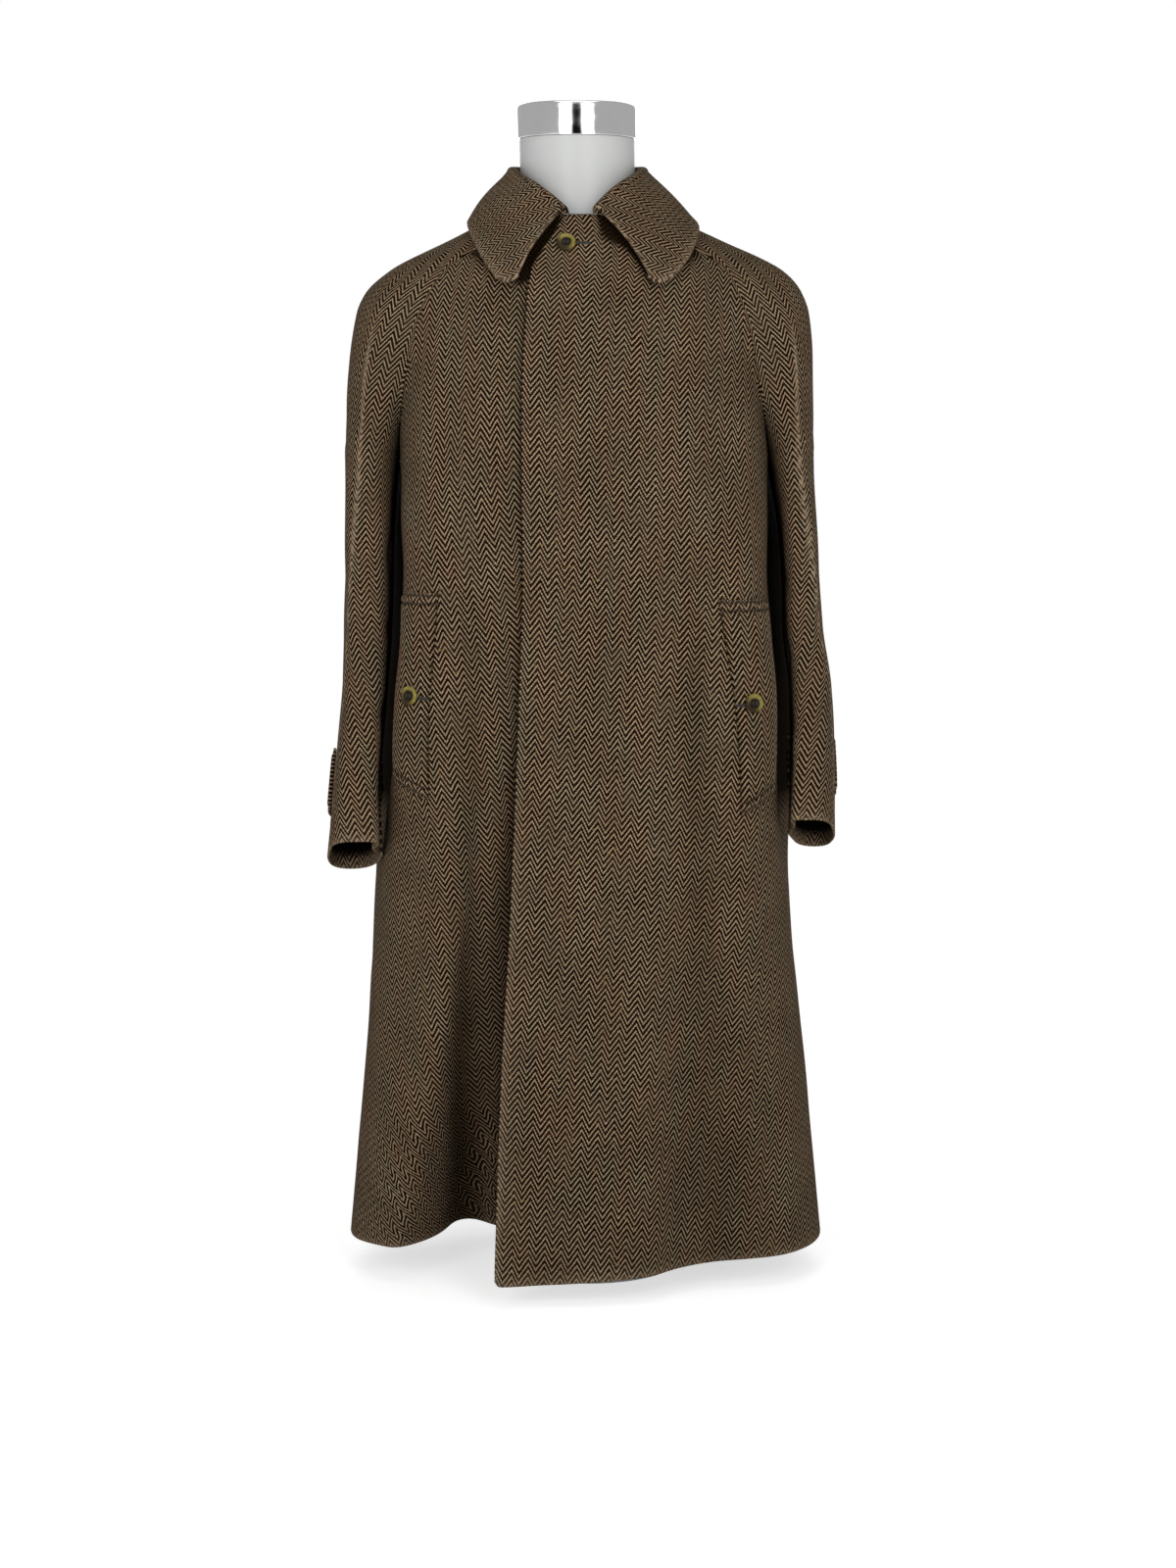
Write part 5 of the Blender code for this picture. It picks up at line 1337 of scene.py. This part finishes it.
def make_strap(side, tweed):
    start, end = STRAP_SHARES[side]
    top, bottom = CUFF_Z[side] + STRAP_HIGH, CUFF_Z[side] + STRAP_LOW
    middle, half = 0.5 * (top + bottom), 0.5 * (top - bottom)
    shares = np.linspace(start, end, STRAP_COLUMNS)
    heights = np.linspace(1.0, -1.0, STRAP_ROWS)
    length = panel_run("sleeve", side, 1, middle)
    run = (shares - start) * length
    lack = np.clip(1.0 - run / STRAP_TIP, 0.0, 1.0)
    reach = half * (STRAP_TIP_BLUNT + (1.0 - STRAP_TIP_BLUNT) * np.sqrt(1.0 - lack ** 2))
    levels = np.linspace(top, bottom, STRAP_SAMPLES)
    base = np.array([sleeve_row(side, 1, float(z), shares) for z in levels])
    wanted = middle + heights[:, None] * reach
    points = np.stack([np.stack([np.interp(wanted[:, j], levels[::-1], base[::-1, j, k])
                                 for j in range(STRAP_COLUMNS)], axis=1) for k in range(3)], axis=2)
    normals = grid_normals(points, WAY[side])
    edge = 1.0 - np.abs(heights)[:, None] * np.ones((1, STRAP_COLUMNS))
    thin = STRAP_EDGE_THIN * (1.0 - np.clip(edge * STRAP_EDGE_RUN, 0.0, 1.0))
    groove = STITCH_DIP * bell(edge * half - STRAP_STITCH_INSET, STITCH_DIP_WIDTH)
    outer = raised(points, SEAM + STRAP_WALL * (1.0 - thin) - groove, normals)
    inner = points + SEAM * normals
    weave = np.stack(np.meshgrid(heights * half + WEAVE_START["strap"], run, indexing="ij"), axis=2)
    shell("cuff_strap_" + side, outer, inner, weave, tweed, ROUNDING["strap"], edge_wear(edge * half))


def neckline(side):
    """Neck edge of the coat from the centre back to the centre front on one side."""
    back, _ = yoke_line(side, NECK_Z, 1)
    front, _ = yoke_line(side, NECK_Z, -1)
    line = np.concatenate((back, front[::-1][1:]))
    height = NECK_Z + BODY.at(NECK_Z).tilt * line[:, 1]
    return np.stack((WAY[side] * line[:, 0], line[:, 1], height), axis=1)


def collar_section(side, share, edge_line):
    """Middle line of the folded collar at one place: stand, roll and fall."""
    row = COLLAR.at(share)
    run = path_length(edge_line)[-1]
    foot = along(edge_line, [share * (1.0 - COLLAR_END_FRACTION) * run])[0]
    near_end = share ** COLLAR_END_POWER
    foot[2] += COLLAR_LIFT
    radius = ROLL_RADIUS + (ROLL_END_RADIUS - ROLL_RADIUS) * near_end
    way = WAY[side]
    roll = np.array((way * row.roll_x, row.roll_y, row.roll_z))
    edge = np.array((way * (row.edge_x + COLLAR_END_SHIFT[side] * near_end), row.edge_y, row.edge_z))
    out = edge - roll
    out[2] = 0.0
    out = unit(out)
    up = np.array((0.0, 0.0, 1.0))
    crease = roll - radius * (up + out)
    line = [foot + (crease - foot) * t for t in np.linspace(0.0, 1.0, STAND_STEPS, endpoint=False)]
    for angle in np.linspace(0.0, math.pi, ROLL_STEPS):
        centre = crease + radius * out
        line.append(centre + radius * (math.sin(angle) * up - math.cos(angle) * out))
    start = line[-1]
    fall = edge - start
    lost = 0.0
    end_run = (1.0 - share) * COLLAR_EDGE_LENGTH
    if end_run < COLLAR_POINT_RADIUS:
        lack = COLLAR_POINT_RADIUS - end_run
        round_off = COLLAR_POINT_RADIUS - math.sqrt(COLLAR_POINT_RADIUS ** 2 - lack ** 2)
        lost = round_off / np.linalg.norm(fall)
    outward = unit(out + COLLAR_BOW_LIFT * up)
    for step in np.linspace(0.0, 1.0, FALL_STEPS)[1:]:
        arch = math.sin(math.pi * step)
        point = start + fall * step * (1.0 - lost) + outward * COLLAR_BOW * arch
        point[0] += way * COLLAR_HOLLOW[side] * near_end * arch
        line.append(point)
    return np.array(line)


def collar_weave(middle, shares):
    """Weave places on the collar: its grain is straight at the centre back and fans towards the ends."""
    roll = STAND_STEPS + ROLL_STEPS // 2
    run = path_length(middle[:, roll])
    centre = len(shares) // 2
    run = run - run[centre]
    turn = np.sign(shares) * COLLAR_FAN * np.abs(shares) ** COLLAR_FAN_POWER
    steps = np.diff(run)
    mean = 0.5 * (turn[1:] + turn[:-1])
    x, y = running(np.cos(mean) * steps), running(np.sin(mean) * steps)
    x, y = x - x[centre], y - y[centre]
    across = np.array([path_length(line) for line in middle])
    across = across - across[:, roll:roll + 1]
    u = x[:, None] + across * np.sin(turn)[:, None]
    v = y[:, None] - across * np.cos(turn)[:, None]
    return COLLAR_FINER * (np.stack((u, v), axis=2) + np.array(WEAVE_START["collar"]))


def make_collar(tweed):
    right_edge, left_edge = neckline("right"), neckline("left")
    right = [collar_section("right", share, right_edge) for share in COLLAR_SHARES[::-1]]
    left = [collar_section("left", share, left_edge) for share in COLLAR_SHARES[1:]]
    middle = np.array(right + left)
    signed = np.concatenate((-COLLAR_SHARES[::-1], COLLAR_SHARES[1:]))
    normals = unit(np.cross(np.gradient(middle, axis=0), np.gradient(middle, axis=1)))
    across = np.array([path_length(line) for line in middle])
    from_edge = across[:, -1:] - across
    run = path_length(middle[:, -1])[:, None] + np.zeros_like(across)
    from_end = np.minimum(run, run[-1] - run)
    rolled = bell(np.minimum(from_edge, from_end), COLLAR_SWELL_REACH)
    past_roll = np.arange(middle.shape[1]) - STAND_STEPS - ROLL_STEPS + 1
    fall = np.clip(past_roll / FALL_FADE_STEPS, 0.0, 1.0)[None, :]
    half = 0.5 * COLLAR_WALL * (1.0 + COLLAR_SWELL * rolled * fall)
    offset = ripple(across, run, RIPPLE_SEEDS["collar"]) * fall
    middle = raised(middle, offset, normals)
    outer = raised(middle, half, normals)
    inner = raised(middle, -half, normals)
    wear_and_highlight = np.maximum(edge_wear(from_edge), edge_wear(from_end)) * fall
    weave = collar_weave(middle, signed)
    shell("collar", outer, inner, weave, tweed, ROUNDING["collar"], wear_and_highlight)


# Buttons and buttonholes
BUTTON_PROFILE = (
    (0.0, 0.0), (0.6, 0.0), (0.8, 0.02), (0.92, 0.12), (0.985, 0.3), (1.0, 0.46), (0.99, 0.64),
    (0.96, 0.82), (0.92, 0.94), (0.87, 1.0), (0.82, 0.99), (0.77, 0.93), (0.72, 0.84), (0.67, 0.77),
    (0.61, 0.73), (0.56, 0.715), (0.51, 0.708), (0.47, 0.705), (0.43, 0.7), (0.39, 0.7), (0.355, 0.7),
    (0.32, 0.7), (0.29, 0.7), (0.26, 0.7), (0.23, 0.7), (0.2, 0.7), (0.17, 0.7), (0.14, 0.7),
    (0.11, 0.7), (0.08, 0.7), (0.05, 0.7), (0.02, 0.7), (0.0, 0.7))
BUTTON_SIDES = 72
BUTTON_FACE = 0.5          # share of the height above which the holes sink
HOLE_OUT = 0.205
HOLE_RADIUS = 0.105
HOLE_DEPTH = 0.5
HOLE_SOFT = 1.6
HORN_PAINTED_LIGHT = (0.5, 0.35)  # middle and slope of the painted light on the rim, lighter to the upper right
THREAD_RADIUS = 0.00035
THREAD_SLIPS = (-0.03, 0.03)
THREAD_ARCH = (0.72, 0.09, 0.25)  # height at the holes, rise between them and dip into them
THREAD_POINTS = 9
THREAD_END = 0.99

# Buttonhole: its thread rim and the slit inside it
RIM_POINTS = 72
RIM_HALF_WIDTH = 0.0011
RIM_POWERS = (0.8, 0.6)
RIM_LUMP = 0.00012
RIM_LUMPS = 18.0
RIM_RADIUS = 0.00055
RIM_SIDES = 8
RIM_LIFT = 0.0001
SLIT_SHARE = 0.96
SLIT_SINK = 0.00005
SLIT_HEIGHT = 0.00035


def button_frame(normal):
    normal = unit(np.array(normal, float))
    level = unit(np.cross(np.array((0.0, 0.0, 1.0)), normal))
    return level, np.cross(normal, level), normal


def make_button(name, seat, normal, horn, thread):
    points, faces = turned(BUTTON_PROFILE, BUTTON_SIDES)
    out = np.hypot(points[:, 0], points[:, 1])
    face = points[:, 2] > BUTTON_FACE
    for x in (-HOLE_OUT, HOLE_OUT):
        for y in (-HOLE_OUT, HOLE_OUT):
            away = np.hypot(points[:, 0] - x, points[:, 1] - y)
            sink = HOLE_DEPTH * smooth(HOLE_SOFT - away / HOLE_RADIUS)
            points[:, 2] -= np.where(face, sink, 0.0)
    level, upward, normal = button_frame(normal)
    local = points * np.array((BUTTON_RADIUS, BUTTON_RADIUS, BUTTON_HEIGHT))
    base = np.array(seat) + SEAM * normal
    world = base + local[:, :1] * level + local[:, 1:2] * upward + local[:, 2:] * normal
    # Painted light across the button, rising to its upper right
    painted_light = HORN_PAINTED_LIGHT[0] + HORN_PAINTED_LIGHT[1] * (points[:, 0] + points[:, 1])
    obj = make_piece(name + "_horn", world, faces, horn, values={"out": out, "painted_light": painted_light})
    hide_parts(name)
    seen, rise, dip = THREAD_ARCH
    y = np.linspace(-HOLE_OUT, HOLE_OUT, THREAD_POINTS)
    arch = seen + rise * np.cos(0.5 * math.pi * y / HOLE_OUT) - dip * (np.abs(y) > THREAD_END * HOLE_OUT)
    paths = [[base + BUTTON_RADIUS * ((x + slip) * level + b * upward) + BUTTON_HEIGHT * h * normal
              for b, h in zip(y, arch)] for x in (-HOLE_OUT, HOLE_OUT) for slip in THREAD_SLIPS]
    stitches = tubes(name + "_thread", paths, THREAD_RADIUS, thread)


def flat_seat(points, normals):
    """Where a flat button rests on a patch of cloth: above its highest point."""
    normal = unit(normals.mean(axis=0))
    middle = points.mean(axis=0)
    return middle + float(np.max((points - middle) @ normal)) * normal, normal


def patch_near(grid, normals, centre, radius):
    """Points of a grid within a radius of a point."""
    flat, flat_normals = grid.reshape(-1, 3), normals.reshape(-1, 3)
    near = np.linalg.norm(flat - centre, axis=1) < radius
    return flat[near], flat_normals[near]


def make_buttonhole(name, grid, normals, centre, length, thread, dark):
    """Worked slit beside a button: a padded thread rim around a dark opening, which is a near-black piece
    of painted shadow.
    """
    seat, normal = flat_seat(*patch_near(grid, normals, centre, 0.5 * length))
    level, upward, normal = button_frame(normal)
    long_power, short_power = RIM_POWERS
    rim = []
    for angle in np.linspace(0.0, 2.0 * math.pi, RIM_POINTS, endpoint=False):
        x = 0.5 * length * math.copysign(abs(math.cos(angle)) ** long_power, math.cos(angle))
        y = RIM_HALF_WIDTH * math.copysign(abs(math.sin(angle)) ** short_power, math.sin(angle))
        lump = RIM_LUMP * math.cos(RIM_LUMPS * angle)
        rim.append(seat + x * level + (y + lump) * upward + RIM_LIFT * normal)
    ring = tubes(name + "_rim", [rim], RIM_RADIUS, thread, closed=True, sides=RIM_SIDES)
    # The slit is a near-black solid that stands in for the shade inside the opening
    slit = [seat + (p - seat) * SLIT_SHARE - SLIT_SINK * normal for p in rim]
    top = [p + SLIT_HEIGHT * normal for p in slit]
    count = RIM_POINTS
    sides = [(i, (i + 1) % count, count + (i + 1) % count, count + i) for i in range(count)]
    triangles = []
    for face in sides + [tuple(reversed(range(count))), tuple(range(count, 2 * count))]:
        triangles += [(face[0], face[i], face[i + 1]) for i in range(1, len(face) - 1)]
    gap = make_piece(name + "_slit", np.array(slit + top), triangles, dark)


def beside(row, column, distance):
    """Point of a row of points at a distance along it from one of its columns."""
    return along(row, [path_length(row)[column] + distance])[0]


# Stage
def set_world():
    world = bpy.data.worlds.new("studio")
    bpy.context.scene.world = world
    world.use_nodes = True
    nodes, links = world.node_tree.nodes, world.node_tree.links
    seen = nodes["Background"]
    seen.inputs["Color"].default_value = (1.0, 1.0, 1.0, 1.0)
    seen.inputs["Strength"].default_value = 1.0
    lit = nodes.new("ShaderNodeBackground")
    lit.inputs["Color"].default_value = WORLD_TINT
    path = nodes.new("ShaderNodeLightPath")
    strength = nodes.new("ShaderNodeMapRange")
    strength.inputs["To Min"].default_value = WORLD_LIGHT
    strength.inputs["To Max"].default_value = WORLD_REFLECTED
    links.new(path.outputs["Is Glossy Ray"], strength.inputs["Value"])
    links.new(strength.outputs[0], lit.inputs["Strength"])
    mix = nodes.new("ShaderNodeMixShader")
    links.new(path.outputs["Is Camera Ray"], mix.inputs[0])
    links.new(lit.outputs[0], mix.inputs[1])
    links.new(seen.outputs[0], mix.inputs[2])
    links.new(mix.outputs[0], nodes["World Output"].inputs["Surface"])


def add_light(name, place, target, size, power):
    light = bpy.data.lights.new(name, "AREA")
    light.shape = "RECTANGLE"
    light.size, light.size_y = size
    light.energy = power
    obj = bpy.data.objects.new(name, light)
    bpy.context.scene.collection.objects.link(obj)
    obj.location = place
    obj.visible_camera = False
    way = np.array(place) - np.array(target)
    flat = math.hypot(way[0], way[1])
    obj.rotation_euler = (math.atan2(flat, way[2]), 0.0, math.atan2(way[0], -way[1]))


def add_flat(name, corners, material):
    """Flat stage piece with four corners."""
    mesh = bpy.data.meshes.new(name)
    mesh.from_pydata(corners, [], [(0, 1, 2, 3)])
    mesh.materials.append(material)
    obj = bpy.data.objects.new(name, mesh)
    bpy.context.scene.collection.objects.link(obj)
    return obj


def add_card():
    """Black card behind the camera, which only shows in reflections."""
    (left, right), y, (low, high) = CARD
    g = Graph("card_black")
    g.set(Base_Color=CARD_BLACK, Roughness=0.9, Specular_IOR_Level=0.0)
    corners = [(left, y, low), (right, y, low), (right, y, high), (left, y, high)]
    add_flat("dark_card", corners, g.material).visible_camera = False


def set_stage():
    corners = [(x * FLOOR_SIZE, y * FLOOR_SIZE, 0.0) for x, y in ((-1, -1), (1, -1), (1, 1), (-1, 1))]
    add_flat("floor", corners, floor_material())
    add_card()
    set_world()
    for name, place, size, power in LIGHTS:
        add_light(name, place, LIGHT_TARGET, size, power)
    camera = bpy.data.cameras.new("camera")
    camera.sensor_width = CAMERA_SENSOR
    camera.lens = CAMERA_LENS
    view = bpy.data.objects.new("camera", camera)
    view.location = CAMERA_PLACE
    view.rotation_euler = (math.pi / 2 - CAMERA_TILT, 0.0, 0.0)
    bpy.context.scene.collection.objects.link(view)
    bpy.context.scene.camera = view
    bpy.context.scene.view_settings.view_transform = "Standard"


# Rings of the form from the neck to the flat bottom: half width, front and back depths and power
NECK_RADIUS = 0.0605
NECK_TOP_Z = 1.2115
TORSO_BOTTOM = 0.44
FORM = (
    *((z, NECK_RADIUS, NECK_RADIUS, NECK_RADIUS, 2.0) for z in (NECK_TOP_Z, 1.18, 1.15)),
    (1.132, 0.064, 0.062, 0.062, 2.0),
    (1.12, 0.105, 0.063, 0.063, 2.0), (1.108, 0.1312, 0.0651, 0.0651, 2.0),
    (1.094, 0.1625, 0.0675, 0.0675, 2.0), (1.08, 0.188, 0.07, 0.069, 2.05),
    (1.066, 0.1935, 0.072, 0.0705, 2.1), (1.052, 0.195, 0.074, 0.073, 2.15),
    (1.036, 0.1945, 0.0803, 0.078, 2.2), (1.01, 0.188, 0.094, 0.09, 2.2),
    (0.97, 0.1744, 0.1098, 0.1025, 2.29), (0.92, 0.1665, 0.1176, 0.1069, 2.3),
    (0.86, 0.1592, 0.1191, 0.1072, 2.29), (0.78, 0.148, 0.108, 0.098, 2.2),
    (0.7, 0.1402, 0.1002, 0.0941, 2.2), (0.62, 0.15, 0.1056, 0.1027, 2.2),
    (0.54, 0.1587, 0.108, 0.1107, 2.2), (0.48, 0.1589, 0.1069, 0.1113, 2.2),
    (0.45, 0.1551, 0.1031, 0.1088, 2.2), (TORSO_BOTTOM, 0.15, 0.098, 0.104, 2.2))
FORM_SIDES = 128
FORM_SHARP = 50.0          # degrees between faces at an edge that stays sharp
CAP_PROFILE = (
    (0.0, 0.0003), (0.0615, 0.0003), (0.0624, 0.00032), (0.0628, 0.0004), (0.06295, 0.0006),
    (0.063, 0.0009), (0.063, 0.006), (0.063, 0.018), (0.063, 0.03), (0.063, 0.0315),
    (0.0627, 0.033), (0.062, 0.0343), (0.0608, 0.0352), (0.0592, 0.0355), (0.056, 0.0355),
    (0.04, 0.0355), (0.0, 0.0355))


def make_torso(plastic):
    angles = np.linspace(0.0, 2.0 * math.pi, FORM_SIDES, endpoint=False)
    cosine, sine = np.cos(angles), np.sin(angles)
    points = []
    for z, half, front, back, power in FORM:
        x = half * np.sign(cosine) * np.abs(cosine) ** (2 / power)
        y = np.where(sine > 0.0, back, front) * np.sign(sine) * np.abs(sine) ** (2 / power)
        points += list(np.stack((x, y, np.full(FORM_SIDES, z)), axis=1))
    count = len(points)
    # The rings run down, so every face is turned round
    faces = [(a, d, c, b) for a, b, c, d in ring_faces(0, len(FORM), FORM_SIDES)]
    faces += [(m, j, k) for m, k, j in cap_faces(count, 0, FORM_SIDES)]
    faces += [(k, j, m) for j, k, m in cap_faces(count + 1, count - FORM_SIDES, FORM_SIDES, True)]
    points += [np.array((0.0, 0.0, z)) for z in (NECK_TOP_Z, TORSO_BOTTOM)]
    obj = make_piece("form_torso_shell", points, faces, plastic)
    obj.data.set_sharp_from_angle(angle=math.radians(FORM_SHARP))
    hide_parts("form_torso")


def make_cap(chrome):
    points, faces = turned(CAP_PROFILE, FORM_SIDES)
    points[:, 2] += NECK_TOP_Z
    obj = make_piece("form_neck_cap_chrome", points, faces, chrome)
    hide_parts("form_neck_cap")


def dress_form():
    plastic, chrome = plastic_material(), chrome_material()
    make_torso(plastic)
    make_cap(chrome)
    for node in ("form_pole", "form_base"):
        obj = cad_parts[node]
        obj.data.materials.clear()
        obj.data.materials.append(plastic)


def main():
    tweed = tweed_material()
    horn = horn_material()
    brown_thread = thread_material("brown_thread", BROWN_THREAD)
    dark = thread_material("slit_shadow", SLIT_SHADOW)
    dress_form()
    panels = {}
    for side in WAY:
        panels[side] = make_front(side, tweed)
        make_back(side, tweed)
        make_sleeve(side, -1, tweed)
        make_sleeve(side, 1, tweed)
        grid, normals, heights = make_welt(side, panels[side], tweed, brown_thread)
        make_strap(side, tweed)
        # Pocket button and its hole
        sewn = welt_edge(side, WELT_BUTTON_Z[side])
        column = int(round(WELT_SPANS * (WELT_BUTTON_SHARE[side] - sewn) / (WELT_FREE[side] - sewn)))
        row = int(np.argmin(np.abs(heights[:, column] - WELT_BUTTON_Z[side])))
        centre = grid[row, column]
        seat, way = flat_seat(*patch_near(grid, normals, centre, SEAT_SHARE * BUTTON_RADIUS))
        make_button("pocket_button_" + side, seat, way, horn, brown_thread)
        hole = beside(grid[row], column, -POCKET_HOLE_AWAY)
        make_buttonhole("pocket_buttonhole_" + side, grid, normals, hole, POCKET_HOLE_LENGTH,
                        brown_thread, dark)
    make_collar(tweed)
    # Collar button and its hole
    panel = panels["left"]
    row = int(np.argmin(np.abs(FRONT_LEVELS - COLLAR_BUTTON_Z)))
    column = int(np.argmin(np.abs(panel.points[row, :, 0] - COLLAR_BUTTON_X)))
    centre = panel.points[row, column]
    seat, way = flat_seat(*patch_near(panel.points, panel.normals, centre, SEAT_SHARE * BUTTON_RADIUS))
    make_button("collar_button", seat, way, horn, brown_thread)
    hole = beside(panel.points[row], column, COLLAR_HOLE_AWAY)
    make_buttonhole("collar_buttonhole", panel.points, panel.normals, hole, COLLAR_HOLE_LENGTH,
                    brown_thread, dark)
    # Buttons of the cuff straps
    for side in WAY:
        level = CUFF_Z[side] + 0.5 * (STRAP_LOW + STRAP_HIGH)
        length = panel_run("sleeve", side, 1, level)
        spread = np.linspace(-SEAT_SHARE, SEAT_SHARE, SEAT_POINTS) * BUTTON_RADIUS
        shares = STRAP_BUTTON_SHARE + spread / length
        grid = np.array([sleeve_row(side, 1, float(level - s), shares) for s in spread])
        ways = grid_normals(grid, WAY[side])
        grid = grid + (SEAM + STRAP_WALL) * ways
        seat, way = flat_seat(grid.reshape(-1, 3), ways.reshape(-1, 3))
        make_button("strap_button_" + side, seat, way, horn, brown_thread)
    set_stage()


main()
